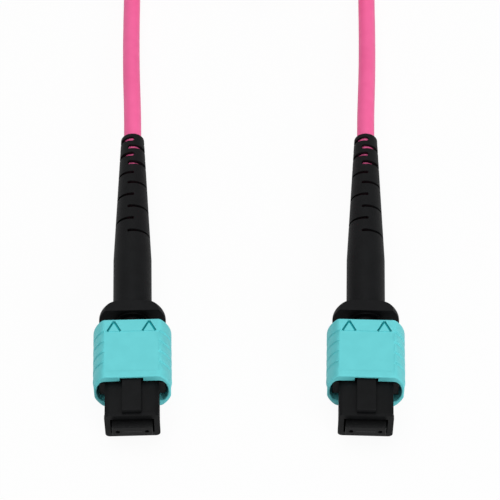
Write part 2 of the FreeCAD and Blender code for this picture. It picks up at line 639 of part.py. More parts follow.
def boot_slits(place, width, side):
    """Two slits through the wall at one place: one from past the top down one side, one opposite it."""
    outside = BOOT_BARREL_DIA
    front = place - width / 2
    rear = place + width / 2
    past_top = side * SLIT_PAST_TOP[side]
    upper = block(*sorted((-past_top, side * outside)), front, rear, -SLIT_PAST_SIDE, outside)
    lower = block(*sorted((past_top, -side * outside)), front, rear, -outside, SLIT_PAST_SIDE)
    return upper, lower


def strain_relief_boot():
    """The tapered boot with its domed flange, the crimp ring's pocket and slits on each side in turn."""
    barrel = BOOT_BARREL_DIA / 2
    tip = BOOT_TIP_DIA / 2
    taper_start = BOOT_FRONT + BOOT_BARREL_LENGTH
    body = turned([
        (0, BOOT_FRONT),
        (barrel, BOOT_FRONT),
        (barrel, taper_start),
        (tip, BOOT_END),
        (0, BOOT_END),
    ])
    body = body.makeChamfer(BOOT_TIP_EDGE, edges_at(body, BOOT_END))
    flange_rear = BOOT_FRONT + FLANGE_THICKNESS
    flange = rod(FLANGE_DIA, BOOT_FRONT, flange_rear)
    flange = flange.makeFillet(FLANGE_ROUND, edges_at(flange, flange_rear))
    flats = bar(FLANGE_DIA, FLANGE_HEIGHT, BOOT_FRONT, flange_rear)
    body = body.fuse(flange.common(flats))
    pocket = BOOT_POCKET_DIA / 2
    bore = BOOT_BORE_DIA / 2
    pocket_end = CRIMP_END + CLOSE_FIT
    body = body.cut(turned([
        (0, BOOT_FRONT),
        (pocket, BOOT_FRONT),
        (pocket, pocket_end),
        (bore, pocket_end + pocket - bore),
        (bore, BOOT_END),
        (0, BOOT_END),
    ]))
    for place, width, side in slit_places():
        for slit in boot_slits(place, width, side):
            body = body.cut(slit)
    return body


def cable_end():
    """The length of cable held inside the crimp ring and the boot."""
    return rod(CABLE_DIA, CABLE_START, BOOT_END)


def end_matrix(side):
    """The place of one end: side -1 is the left one, 1 the right one."""
    turn = Rotation(Vector(0, 0, 1), -side * END_SPLAY_DEG)
    return Placement(Vector(side * END_HALF_GAP, END_FRONT_Y, AXIS_HEIGHT), turn).toMatrix()


def rounded_route(points):
    """A path of straight runs and tangent arcs, each arc as large as its runs allow, and the arcs' radii."""
    edges = []
    radii = []
    start = points[0]
    for before, corner, after in zip(points, points[1:], points[2:]):
        run_in = corner - before
        run_out = after - corner
        turn = run_in.getAngle(run_out)
        setback = ARC_SHARE * min(run_in.Length, run_out.Length)
        radius = setback / math.tan(turn / 2)
        radii.append(radius)
        heading_in = run_in.normalize()
        heading_out = run_out.normalize()
        arc_start = corner - heading_in * setback
        arc_end = corner + heading_out * setback
        inward = (heading_out - heading_in).normalize()
        middle = corner + inward * (math.hypot(radius, setback) - radius)
        edges.append(Part.LineSegment(start, arc_start).toShape())
        edges.append(Part.Arc(arc_start, middle, arc_end).toShape())
        start = arc_end
    edges.append(Part.LineSegment(start, points[-1]).toShape())
    return Part.Wire(edges), radii


def cable_run(side, later_points, name):
    """The free cable from one boot's mouth to the side of the coil."""
    matrix = end_matrix(side)
    mouth = matrix.multVec(Vector(0, BOOT_END, 0))
    lead = matrix.multVec(Vector(0, BOOT_END + RUN_LEAD, 0))
    points = [mouth, lead] + [Vector(*point) for point in later_points]
    path, radii = rounded_route(points)
    section = Part.Wire([Part.makeCircle(CABLE_DIA / 2, mouth, lead - mouth)])
    tube = path.makePipeShell([section], True, True)
    expected = math.pi * CABLE_DIA ** 2 / 4 * path.Length
    print(name, "arc radii", [round(radius, 1) for radius in radii], "length", round(path.Length, 1),
          "volume over section times length", round(tube.Volume / expected, 4))
    return tube


def bundle_outline(margin):
    """The outline of the coil's bundle, with its corners taken off, grown by a margin."""
    low_x = COIL_MEAN_RADIUS - BUNDLE_WIDTH / 2 - margin
    high_x = COIL_MEAN_RADIUS + BUNDLE_WIDTH / 2 + margin
    low_z = COIL_BASE - margin
    high_z = COIL_BASE + BUNDLE_HEIGHT + margin
    box = Part.makeBox(high_x - low_x, 1, high_z - low_z, Vector(low_x, 0, low_z))
    box = box.makeChamfer(BUNDLE_CORNER, long_edges(box))
    return next(face for face in box.Faces if face.BoundBox.YMax < 1e-6)


def about_coil_axis(face, start_deg, sweep_deg):
    """A solid turned about the coil's upright axis from a face drawn at the axis's right."""
    turned_face = face.copy()
    turned_face.rotate(Vector(0, 0, 0), Vector(0, 0, 1), start_deg)
    solid = turned_face.revolve(Vector(0, 0, 0), Vector(0, 0, 1), sweep_deg)
    return solid.translated(Vector(0, COIL_Y, 0))


def cable_coil():
    """The outer shape of the coil in which the rest of the cable is wound."""
    return about_coil_axis(bundle_outline(0), 0, 360)


def cable_tie(centre_deg):
    """A strap round the coil's bundle, with its loose end lapped over the top."""
    start = centre_deg - TIE_SWEEP_DEG / 2
    strap = bundle_outline(CLOSE_FIT + TIE_THICKNESS).cut(bundle_outline(CLOSE_FIT))
    tab_low = COIL_BASE + BUNDLE_HEIGHT + CLOSE_FIT + TIE_THICKNESS
    tab_corner = Vector(COIL_MEAN_RADIUS - TIE_TAB_LENGTH / 2, 0, tab_low)
    tab = Part.makeBox(TIE_TAB_LENGTH, 1, TIE_THICKNESS, tab_corner)
    tab_face = next(face for face in tab.Faces if face.BoundBox.YMax < 1e-6)
    solid = about_coil_axis(strap, start, TIE_SWEEP_DEG).fuse(about_coil_axis(tab_face, start, TIE_SWEEP_DEG))
    return solid.removeSplitter()


END_PIECES = {
    "ferrule": ferrule(),
    "ferrule_boot": ferrule_boot(),
    "pin_clamp": pin_clamp(),
    "ferrule_spring": ferrule_spring(),
    "fibre_ribbon": fibre_ribbon(),
    "plug_housing": plug_housing(),
    "coupling_sleeve": coupling_sleeve(),
    "coupling_spring_left": coupling_spring(-1),
    "coupling_spring_right": coupling_spring(1),
    "spring_push": spring_push(),
    "aramid_yarn": aramid_yarn(),
    "crimp_ring": crimp_ring(),
    "strain_relief_boot": strain_relief_boot(),
    "cable_end": cable_end(),
}

nodes = {}
for side, letter in ((-1, "a"), (1, "b")):
    for name, shape in END_PIECES.items():
        nodes[name + "_" + letter] = shape.transformed(end_matrix(side), True)
nodes["cable_run_a"] = cable_run(-1, RUN_A, "cable_run_a")
nodes["cable_run_b"] = cable_run(1, RUN_B, "cable_run_b")
nodes["cable_coil"] = cable_coil()
nodes["cable_tie_near"] = cable_tie(-90)
nodes["cable_tie_far"] = cable_tie(90)

os.makedirs("parts", exist_ok=True)
for name, shape in nodes.items():
    solids = shape.Solids
    if len(solids) != 1 or not shape.isValid():
        raise SystemExit(name + ": expected one valid solid, found " + str(len(solids)))
    solids[0].exportStep("parts/" + name + ".step")
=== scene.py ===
import json
import math

import bmesh
import bpy
from mathutils import Matrix, Vector


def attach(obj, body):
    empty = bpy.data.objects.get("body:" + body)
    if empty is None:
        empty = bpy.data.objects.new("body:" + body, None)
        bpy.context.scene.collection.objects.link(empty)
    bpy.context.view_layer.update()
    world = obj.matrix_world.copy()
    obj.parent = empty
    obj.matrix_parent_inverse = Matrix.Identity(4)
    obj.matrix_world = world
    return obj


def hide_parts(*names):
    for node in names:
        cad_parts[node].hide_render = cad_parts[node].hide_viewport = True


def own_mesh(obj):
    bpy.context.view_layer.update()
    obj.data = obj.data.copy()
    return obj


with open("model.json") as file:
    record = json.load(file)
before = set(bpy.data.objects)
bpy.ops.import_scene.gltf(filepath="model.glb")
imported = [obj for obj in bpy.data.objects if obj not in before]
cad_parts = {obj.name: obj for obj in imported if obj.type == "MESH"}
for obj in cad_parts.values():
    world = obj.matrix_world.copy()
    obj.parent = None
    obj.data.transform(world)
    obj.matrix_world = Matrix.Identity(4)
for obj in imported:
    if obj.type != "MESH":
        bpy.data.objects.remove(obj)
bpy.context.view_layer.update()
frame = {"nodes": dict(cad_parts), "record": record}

# A fibre patch cable: two push-pull plugs, each with a slit boot, and one pink cable that is coiled behind
# them. Pieces of a plug are modelled in millimetres on the plug's own axis, with y counted back from the
# ferrule's end face, and are then put in their places in metres. The lengths below are in millimetres, but
# the cable's length and all values of the camera, the lamps and the floor are in metres.

MM = 0.001
RING_POINTS = 128
ROD_POINTS = 48
RIM_STEPS = 4
FINE_EDGE = 0.05
EDGE_SEGMENTS = 2
EDGE_ANGLE_DEG = 35.0
SMOOTH_ANGLE_DEG = 32.0
CREASE_SMOOTHING = 0.5
CUT_PAST = 1.0
TINY = 1e-4

# Ferrule
FERRULE_WIDTH = 6.4
FERRULE_HEIGHT = 2.5
FERRULE_LENGTH = 8.0
FERRULE_EDGE = 0.08
COLLAR_WIDTH = 7.0
COLLAR_HEIGHT = 3.0
COLLAR_FRONT = 6.02
GUIDE_HOLE_DIA = 0.7
GUIDE_HOLE_X = 2.3
FIBRE_DIA = 0.25
FIBRE_POINTS = 8
FIBRE_TIP_DIA = 0.125
FIBRE_TIP_Y = (-0.004, 0.1)
FIBRE_TIP_POINTS = 16
FIBRE_COUNT = 12
FIBRE_PITCH = 0.25
FIBRE_COLOURS = [(0.02, 0.1, 0.5), (0.8, 0.2, 0.02), (0.03, 0.35, 0.08), (0.15, 0.06, 0.03),
                 (0.2, 0.23, 0.26), (0.8, 0.8, 0.78), (0.6, 0.02, 0.03), (0.01, 0.01, 0.012),
                 (0.8, 0.6, 0.03), (0.2, 0.06, 0.4), (0.8, 0.3, 0.4), (0.1, 0.5, 0.55)]
POCKET_FRONT = 5.8
POCKET_WIDTH = 3.64
POCKET_HEIGHT = 1.68
WINDOW = {"x": (-1.5, 1.5), "y": (3.5, 5.1), "z": (0.45, 2.0)}

# Plug housing
HOUSING_WIDTH = 8.6
HOUSING_HEIGHT = 5.5
HOUSING_FRONT = 1.1
LIP_WIDTH = 8.75
LIP_HEIGHT = 5.9
LIP_REAR = 1.7
LIP_ROUND = 0.75
LIP_SEGMENTS = 6
HOUSING_REAR = 18.6
SHOULDER_WIDTH = 0.9
SHOULDER_DROP = 0.4
KEY_WIDTH = 3.0
KEY_FRONT = 1.6
KEY_REAR = 11.56
KEY_TOP = 3.7
KEY_CHAMFER = 0.35
KEY_SEGMENTS = 3
KEY_ROOT = 0.3
MOUTH_WIDTH = 6.9
MOUTH_HEIGHT = 3.8
MOUTH_END = 3.1
TUNNEL_WIDTH = 6.6
TUNNEL_HEIGHT = 2.7
CAVITY_WIDTH = 7.2
CAVITY_HEIGHT = 3.2
CAVITY_FRONT = 6.0
NOTCH_DEPTH = 0.5
NOTCH_Y = (3.5, 5.5)
NOTCH_HEIGHT = 3.8
SNAP_WINDOW_WIDTH = 2.3
SNAP_WINDOW_Y = (17.15, 18.15)
CHANNEL_REACH = 1.0
CHANNEL_Y = (8.26, 18.4)
CHANNEL_ROOM_Y = (10.6, 17.4)
CHANNEL_HEIGHT = 3.2
CHANNEL_ROOM_HEIGHT = 1.4

# Coupling sleeve
SLEEVE_DIA = 12.66
SLEEVE_HEIGHT = 8.6
SLEEVE_INNER_DIA = 11.4
SLEEVE_INNER_HEIGHT = 5.8
SLEEVE_FRONT = 7.56
SLEEVE_REAR = 18.74
SLEEVE_ROUND = 0.2
SLEEVE_CREASE = 0.4
SLEEVE_CREASE_PASSES = 2
SLEEVE_INNER_CREASE = 1.3
SLEEVE_INNER_CREASE_PASSES = 12
FRONT_BAND_END = 9.1
FRONT_BAND_DEPTH = 0.18
GRIP_COUNT = 4
GRIP_PITCH = 1.97
GRIP_DEPTH = 0.36
GRIP_SIDE_DEPTH = 0.07
GRIP_STEP = 0.12
# Steps along a tooth, as (distance ahead of its end, share of its depth)
GRIP_SCOOP = [(1.2, 0.08), (0.65, 0.34), (0.0, 1.0)]
GRIP_REAR_SETBACK = 2.3
GRIP_FLAT_X = 3.9
KEYWAY_WIDTH = 3.76
KEYWAY_TOP = 3.93
KEYWAY_END = 12.56
PANEL_WIDTH = 8.79
PANEL_Y = (8.66, 16.44)
PANEL_DEPTH = 0.1
ARROW_X = 2.83
ARROW_HALF_WIDTH = 1.05
ARROW_LENGTH = 1.95
ARROW_TIP = 18.39
ARROW_LINE = 0.38
ARROW_DEPTH = 0.6
LUG_X = (4.4, 6.0)
LUG_Y = (10.65, 11.55)
LUG_HEIGHT = 1.2

# Strain relief boot
BOOT_FRONT = 21.2
BOOT_END = 59.8
BOOT_BARREL_DIA = 6.34
BOOT_TAPER_START = 33.6
BOOT_TAPER_LEAD = 1.0
BOOT_TIP_DIA = 3.96
BOOT_TIP_ROUND = 0.3
BOOT_BORE_DIA = 3.2
BOOT_POCKET_DIA = 5.2
BOOT_POCKET_END = 31.45
FLANGE_DIA = 10.9
FLANGE_HEIGHT = 6.6
FLANGE_RIM = 0.35
FLANGE_ROUND = 1.95
FLANGE_DOME_LENGTH = 1.7
DOME_STEPS = 10
BOOT_POINTS = 96
BOOT_EDGE_ANGLE_DEG = 50.0
SLIT_WIDTH = 0.62
TIP_SLIT_COUNT = 4
TIP_SLIT_WIDTH = 0.95
SLIT_TIP_MARGIN = 1.3
SLIT_PITCHES = [1.8, 1.7, 1.9, 2.3, 2.24, 2.66, 2.65, 2.61, 2.72]
# How far a slit goes past the boot's top, for slits down the left and down the right side
SLIT_PAST_TOP = {-1: 0.4, 1: 0.8}
SLIT_SIDE_SHARE = 0.2
SLIT_END_ROUND = 0.45
SLIT_END_SEGMENTS = 4
SLIT_PAST_SIDE = 0.4

# Springs and ribbon
WIRE_POINTS = 10
WIRE_ANGLE_DEG = 60.0
SPRING_STEPS = 24
COUPLING_SPRING_X = 5.0
COUPLING_SPRING_Y = (11.55, 17.4)
COUPLING_SPRING_DIA = 1.2
COUPLING_SPRING_WIRE = 0.22
COUPLING_SPRING_TURNS = 6
FERRULE_SPRING_Y = (9.6, 16.6)
FERRULE_SPRING_WIDTH = 6.9
FERRULE_SPRING_HEIGHT = 2.9
FERRULE_SPRING_WIRE = 0.4
FERRULE_SPRING_TURNS = 5
# Where the ribbon starts, is flat until, is gathered from, and ends
RIBBON_Y = (5.8, 16.6, 18.6, 27.9)
RIBBON_LAYERS = 3

# Cable
CABLE_DIA = 3.0
CABLE_IN_BOOT = [31.0, 38.0, 46.0, 53.0]
CABLE_ORDER = 3
CABLE_RESOLUTION = 4
CABLE_BEVEL_RESOLUTION = 8
RUN_LEAD = 6.0
RUN_A = [(-21.0, 46.2, 3.7), (-21.4, 57.2, 2.2), (-21.6, 69.0, 1.55), (-22.2, 81.5, 1.75),
         (-22.65, 93.0, 2.05)]
RUN_B = [(21.0, 46.2, 3.6), (21.4, 57.2, 2.0), (21.6, 69.0, 1.8), (22.2, 81.5, 3.6),
         (22.65, 93.0, 5.15)]
COIL_CENTRE = Vector((0.0, 94.0, 0.0))
COIL_MEAN_RADIUS = 18.0
COIL_BASE = 0.55
COIL_PITCH = 3.1
COIL_MIDDLE_COLUMN = 1.5
COIL_LAST_TURN_SHORT = 0.5
COIL_POINTS = 24
COIL_SHIFT_START = 0.71
COIL_SHIFT_LENGTH = 0.24
COIL_CORNER_LEAD = 0.035
COIL_SAG = 0.5
# The place of each turn in the bundle, as (column, row)
COIL_SLOTS = [(3, 0), (2, 0), (1, 0), (0, 0), (0, 1), (0, 2), (0, 3), (1, 3), (2, 3), (3, 3), (3, 2), (2, 2),
              (1, 2), (1, 1), (2, 1), (3, 1)]

# Ties
TIE_THICKNESS = 0.5
TIE_SWEEP_DEG = 20.0
TIE_SWEEP_STEPS = 8
TIE_PLACES_DEG = {"cable_tie_near": -90, "cable_tie_far": 90}
TIE_TAB_LENGTH = 7.0
TIE_TAB_CUTS = 8
TIE_GAP = 0.05
TIE_EDGE = 0.12
TIE_ANGLE_DEG = 50.0
BUNDLE_SIZE = 12.3
BUNDLE_CORNER = 1.5
BUNDLE_CORNER_SEGMENTS = 5

# Finishes
GRAIN_LOW = 0.3
GRAIN_HIGH = 0.7
GRAINS_TO_CLOUD = 14
# Painted shade: a darker teal for the bottom of the arrows' grooves, standing in for the shade inside them
GROOVE_SHADE_COLOUR = (0.012, 0.46, 0.49, 1)
STRAP_LOOP = 0.45
MOULDED_SKINS = {
    "aqua_plastic": {"first": (0.131, 0.598, 0.632), "second": (0.139, 0.622, 0.656),
                     "roughness": (0.46, 0.6), "specular": 0.22, "grain_size": 0.16, "depth": 0.004},
    "black_plastic": {"first": (0.0032, 0.0034, 0.0037), "second": (0.0042, 0.0045, 0.0049),
                      "roughness": (0.36, 0.5), "specular": 0.06, "grain_size": 0.14, "depth": 0.004},
    "boot_rubber": {"first": (0.0036, 0.0038, 0.0042), "second": (0.005, 0.0053, 0.0058),
                    "roughness": (0.48, 0.64), "specular": 0.075, "grain_size": 0.22, "depth": 0.008},
    "soft_boot": {"first": (0.028, 0.028, 0.03), "second": (0.036, 0.036, 0.038),
                  "roughness": (0.6, 0.75), "specular": 0.3, "grain_size": 0.2, "depth": 0.006},
    "cable_jacket": {"first": (0.88, 0.128, 0.33), "second": (0.91, 0.139, 0.352),
                     "roughness": (0.42, 0.56), "specular": 0.22, "grain_size": 0.2, "depth": 0.005},
    "fibre_glass": {"first": (0.02, 0.021, 0.023), "second": (0.03, 0.031, 0.034),
                    "roughness": (0.05, 0.12), "specular": 0.5, "grain_size": 0.05, "depth": 0.001},
}
BARE_METALS = {
    "spring_steel": {"first": (0.5, 0.5, 0.51), "second": (0.62, 0.62, 0.63), "roughness": (0.22, 0.36),
                     "size": 0.04, "stretch": (6, 1, 6)},
    "clamp_steel": {"first": (0.48, 0.48, 0.49), "second": (0.6, 0.6, 0.61), "roughness": (0.28, 0.42),
                    "size": 0.06, "stretch": (1, 12, 1)},
    "crimp_metal": {"first": (0.6, 0.6, 0.61), "second": (0.74, 0.74, 0.75), "roughness": (0.25, 0.4),
                    "size": 0.08, "stretch": (14, 1, 14)},
}

# Camera and light
CAMERA_PLACE = (0.00015, -0.22256, 0.30763)
CAMERA_TILT_DEG = 37.0
CAMERA_LENS = 163.5
CAMERA_SENSOR = 36.0
CAMERA_NEAR = 0.01
# Each lamp's name, place, size and power
LAMPS = [("overhead_lamp", (-0.08, 0.05, 0.65), 0.6, 2.9), ("front_lamp", (0.46, -0.55, 0.35), 0.4, 3.2)]
WHITE = (1, 1, 1, 1)
FLOOR_SIZE = 4.0
FLOOR_GREY = (0.8, 0.8, 0.8, 1)
FLOOR_ROUGHNESS = 0.9
FLOOR_WHITE_SHARE = 0.94
SURROUND_STRENGTH = 0.26
SURROUND_WHITE_SHARE = 1.0


def end_place(letter):
    """The place of one plug: the centre of its ferrule's face, with +Y back along its axis."""
    mount = next(mount for mount in frame["record"]["mounts"] if mount["name"] == "plug_" + letter)
    back = -Vector(mount["axis"])
    turn = Vector((0, 1, 0)).rotation_difference(back)
    return Matrix.Translation(mount["pos_m"]) @ turn.to_matrix().to_4x4() @ Matrix.Scale(MM, 4)


END_PLACES = {letter: end_place(letter) for letter in "ab"}


def point_of(letter, x, y, z):
    """A point of one plug, given on its own axis, in its place in metres."""
    return END_PLACES[letter] @ Vector((x, y, z))


def about(size):
    """A range with the plug's axis in its middle."""
    return (-size / 2, size / 2)


def side_span(side, near, far):
    """A range on one side of the plug's axis, lower end first."""
    return sorted((side * near, side * far))


def deselect():
    """Clears the selection, because an operator acts on all that is selected."""
    bpy.ops.object.select_all(action="DESELECT")


def use(piece):
    """Makes a piece the only one that operators act on."""
    deselect()
    piece.select_set(True)
    bpy.context.view_layer.objects.active = piece


def edit(piece):
    """Opens a piece's mesh."""
    use(piece)
    bpy.ops.object.mode_set(mode="EDIT")


def leave_edit():
    """Closes the open mesh."""
    bpy.ops.object.mode_set(mode="OBJECT")


def middle(element):
    """The middle of a vertex, an edge or a face."""
    if isinstance(element, bmesh.types.BMVert):
        return element.co.copy()
    return sum((vertex.co for vertex in element.verts), Vector()) / len(element.verts)


def pick(kind, test):
    """Selects the vertices, edges or faces of the open mesh whose middle passes the test."""
    bpy.ops.mesh.select_mode(type=kind)
    mesh = bmesh.from_edit_mesh(bpy.context.edit_object.data)
    elements = {"VERT": mesh.verts, "EDGE": mesh.edges, "FACE": mesh.faces}[kind]
    chosen = [element for element in elements if test(middle(element))]
    bpy.ops.mesh.select_all(action="DESELECT")
    for element in chosen:
        element.select_set(True)
    mesh.select_flush_mode()
    bmesh.update_edit_mesh(bpy.context.edit_object.data)


def settle(name):
    """Names a new piece and leaves its place and size in its mesh."""
    bpy.ops.object.transform_apply(location=True, rotation=True, scale=True)
    piece = bpy.context.object
    piece.name = name
    return piece


def add_box(name, x, y, z):
    """A cube primitive between two corners, given as ranges."""
    deselect()
    centre = [sum(span) / 2 for span in (x, y, z)]
    size = [span[1] - span[0] for span in (x, y, z)]
    bpy.ops.mesh.primitive_cube_add(size=1, location=centre)
    bpy.ops.transform.resize(value=size, center_override=centre)
    return settle(name)


def add_bar(name, width, height, y):
    """A box centred on the plug's axis."""
    return add_box(name, about(width), y, about(height))


def add_rod(name, diameter, y, x=0.0, points=ROD_POINTS):
    """A cylinder along the plug's axis."""
    deselect()
    place = (x, sum(y) / 2, 0)
    bpy.ops.mesh.primitive_cylinder_add(vertices=points, radius=diameter / 2, depth=y[1] - y[0],
                                        location=place, rotation=(math.pi / 2, 0, 0))
    return settle(name)


def add_ring(name, diameter, y, points=RING_POINTS, x=0.0):
    """An open circle of points across the plug's axis."""
    deselect()
    bpy.ops.mesh.primitive_circle_add(vertices=points, radius=diameter / 2, location=(x, y, 0),
                                      rotation=(math.pi / 2, 0, 0))
    return settle(name)


def apply_modifier(piece, kind, **settings):
    """Adds a modifier with its settings to a piece and applies it."""
    use(piece)
    bpy.ops.object.modifier_add(type=kind)
    modifier = piece.modifiers[-1]
    for name, value in settings.items():
        setattr(modifier, name, value)
    bpy.ops.object.modifier_apply(modifier=modifier.name)


def join_to(piece, others, operation="UNION"):
    """Joins other pieces to this one and removes them."""
    for other in others:
        apply_modifier(piece, "BOOLEAN", operation=operation, solver="EXACT", object=other)
        bpy.data.objects.remove(other)
    return piece


def cut_from(piece, others):
    """Cuts other pieces from this one and removes them."""
    return join_to(piece, others, "DIFFERENCE")


def as_one(pieces):
    """Puts separate pieces that don't touch into one mesh."""
    deselect()
    for piece in pieces:
        piece.select_set(True)
    bpy.context.view_layer.objects.active = pieces[0]
    bpy.ops.object.join()
    return pieces[0]


def soften_edges(piece, width, angle=EDGE_ANGLE_DEG):
    """Rounds every edge that is sharper than the angle."""
    apply_modifier(piece, "BEVEL", width=width, segments=EDGE_SEGMENTS, limit_method="ANGLE",
                   angle_limit=math.radians(angle))


def smooth(piece, angle=SMOOTH_ANGLE_DEG):
    """Smooth shading over gentle bends, with the flat faces kept flat."""
    use(piece)
    bpy.ops.object.shade_smooth_by_angle(angle=math.radians(angle))
    apply_modifier(piece, "WEIGHTED_NORMAL", keep_sharp=True)


def close_mesh():
    """Merges doubles in the open mesh and turns its faces outwards."""
    bpy.ops.mesh.select_all(action="SELECT")
    bpy.ops.mesh.remove_doubles(threshold=TINY)
    bpy.ops.mesh.normals_make_consistent(inside=False)
    if bmesh.from_edit_mesh(bpy.context.edit_object.data).calc_volume(signed=True) < 0:
        bpy.ops.mesh.flip_normals()


def carry_ring(profile):
    """Extrudes the open mesh's selected outline through steps of (width, height, y), scaled at each one."""
    for (width, height, y), (next_width, next_height, next_y) in zip(profile, profile[1:]):
        bpy.ops.mesh.extrude_edges_move(TRANSFORM_OT_translate={"value": (0, next_y - y, 0)})
        ratio = (next_width / width, 1, next_height / height)
        bpy.ops.transform.resize(value=ratio, center_override=(0, next_y, 0))


def carry_flat_rod(ring, diameter, height, steps):
    """Opens a flattened ring's mesh, fits the ring to the first step and carries it through the others."""
    edit(ring)
    bpy.ops.mesh.select_all(action="SELECT")
    first_width, first_height, y = steps[0]
    ratio = (first_width / diameter, 1, first_height / height)
    bpy.ops.transform.resize(value=ratio, center_override=(0, y, 0))
    carry_ring(steps)


def cap_end(y):
    """Fills the open mesh's outline at one end with a face."""
    pick("EDGE", lambda point: abs(point.y - y) < TINY)
    bpy.ops.mesh.edge_face_add()


def cap_rod(front, rear):
    """Fills both ends of the open mesh and closes it."""
    cap_end(front)
    cap_end(rear)
    close_mesh()
    leave_edit()


def slice_flats(height, end):
    """Cuts off what stands above and below a height, back to y = end, and fills the cuts."""
    for side in (1, -1):
        pick("EDGE", lambda point: point.y < end)
        bpy.ops.mesh.bisect(plane_co=(0, 0, side * height), plane_no=(0, 0, side), use_fill=True,
                            clear_outer=True)


def flat_sided_ring(name, diameter, height, y, crease, passes):
    """A circle across the plug's axis with its top and bottom pressed flat and the creases rounded."""
    ring = add_ring(name, diameter, y)
    edit(ring)
    half = height / 2
    for side in (1, -1):
        bpy.ops.mesh.select_all(action="SELECT")
        bpy.ops.mesh.bisect(plane_co=(0, 0, side * half), plane_no=(0, 0, 1))
    bpy.ops.mesh.select_all(action="SELECT")
    bpy.ops.mesh.remove_doubles(threshold=2 * FINE_EDGE)
    for side in (1, -1):
        pick("VERT", lambda point: side * point.z > half - TINY)
        bpy.ops.transform.resize(value=(1, 1, 0), center_override=(0, 0, side * half))
    crease_x = math.sqrt(diameter ** 2 / 4 - half ** 2)
    pick("VERT", lambda point: math.hypot(abs(point.x) - crease_x, abs(point.z) - half) < crease)
    bpy.ops.mesh.vertices_smooth(factor=CREASE_SMOOTHING, repeat=passes)
    leave_edit()
    return ring


def rim(width, height, y, outwards, turned):
    """The steps of a rounded rim of the sleeve, from its face to the wall, or back if it is turned."""
    steps = []
    for index in range(RIM_STEPS + 1):
        angle = math.pi / 2 * index / RIM_STEPS
        inset = outwards * SLEEVE_ROUND * (1 - math.sin(angle))
        depth = SLEEVE_ROUND * (1 - math.cos(angle))
        steps.append((width - 2 * inset, height - 2 * inset, y - depth if turned else y + depth))
    return steps[::-1] if turned else steps


def grip_rears():
    """Where each saw-tooth of the grip ends, from the cable's side to the front."""
    return [SLEEVE_REAR - GRIP_REAR_SETBACK - index * GRIP_PITCH for index in range(GRIP_COUNT)]


def press_ring(y, share):
    """Pulls in one ring of the open mesh by a share of the grip's depth, most by the flats."""
    flat_x = math.sqrt(SLEEVE_DIA ** 2 - SLEEVE_HEIGHT ** 2) / 2
    side_reach = SLEEVE_DIA / 2 - flat_x
    side_ratio = 1 + share * (GRIP_DEPTH - GRIP_SIDE_DEPTH) / side_reach
    side_centre = SLEEVE_DIA / 2 + share * GRIP_SIDE_DEPTH / (side_ratio - 1)
    flat_ratio = 1 - share * GRIP_DEPTH / (flat_x - GRIP_FLAT_X)
    level = SLEEVE_HEIGHT / 2 - TINY
    for side in (-1, 1):
        pick("VERT", lambda point: abs(point.y - y) < TINY and side * point.x > 0 and abs(point.z) < level)
        bpy.ops.transform.resize(value=(side_ratio, 1, 1), center_override=(side * side_centre, y, 0))
        pick("VERT", lambda point: abs(point.y - y) < TINY and side * point.x > GRIP_FLAT_X
             and abs(point.z) > level)
        bpy.ops.transform.resize(value=(flat_ratio, 1, 1), center_override=(side * GRIP_FLAT_X, y, 0))


def press_grips():
    """Scoops out each saw-tooth of the grip in the open mesh, deepest at the tooth's end."""
    for rear in grip_rears():
        for ahead, share in GRIP_SCOOP:
            press_ring(rear - ahead, share)


def press_front_band(steps):
    """Flattens the sides of the smooth band in front of the grip, ring by ring, in the open mesh."""
    for diameter, height, y in steps:
        reach = diameter / 2 - FRONT_BAND_DEPTH
        for side in (-1, 1):
            pick("VERT", lambda point: abs(point.y - y) < TINY and side * point.x > reach)
            bpy.ops.transform.resize(value=(0, 1, 1), center_override=(side * reach, y, 0))


def sleeve_outside():
    """The sleeve's outer shape: a flattened rod with rounded rims, and saw-teeth in its round sides."""
    body = flat_sided_ring("coupling_sleeve", SLEEVE_DIA, SLEEVE_HEIGHT, SLEEVE_FRONT, SLEEVE_CREASE,
                           SLEEVE_CREASE_PASSES)
    band = rim(SLEEVE_DIA, SLEEVE_HEIGHT, SLEEVE_FRONT, 1, False)
    band += [(SLEEVE_DIA, SLEEVE_HEIGHT, y) for y in (grip_rears()[-1] - GRIP_PITCH, FRONT_BAND_END)]
    places = [FRONT_BAND_END + GRIP_STEP]
    for rear in reversed(grip_rears()):
        places += [rear - ahead for ahead, share in GRIP_SCOOP]
        places.append(rear + GRIP_STEP)
    steps = band + [(SLEEVE_DIA, SLEEVE_HEIGHT, y) for y in places]
    steps += rim(SLEEVE_DIA, SLEEVE_HEIGHT, SLEEVE_REAR, 1, True)
    carry_flat_rod(body, SLEEVE_DIA, SLEEVE_HEIGHT, steps)
    press_front_band(band)
    press_grips()
    cap_rod(SLEEVE_FRONT, SLEEVE_REAR)
    return body


def sleeve_hole():
    """The cutter for the sleeve's hole, flared at both rims and carried past them."""
    front = SLEEVE_FRONT - CUT_PAST
    rear = SLEEVE_REAR + CUT_PAST
    hole = flat_sided_ring("sleeve_hole", SLEEVE_INNER_DIA, SLEEVE_INNER_HEIGHT, front, SLEEVE_INNER_CREASE,
                           SLEEVE_INNER_CREASE_PASSES)
    steps = rim(SLEEVE_INNER_DIA, SLEEVE_INNER_HEIGHT, SLEEVE_FRONT, -1, False)
    steps += rim(SLEEVE_INNER_DIA, SLEEVE_INNER_HEIGHT, SLEEVE_REAR, -1, True)
    flare = steps[0][:2]
    steps = [(*flare, front)] + steps + [(*flare, rear)]
    carry_flat_rod(hole, SLEEVE_INNER_DIA, SLEEVE_INNER_HEIGHT, steps)
    cap_rod(front, rear)
    return hole


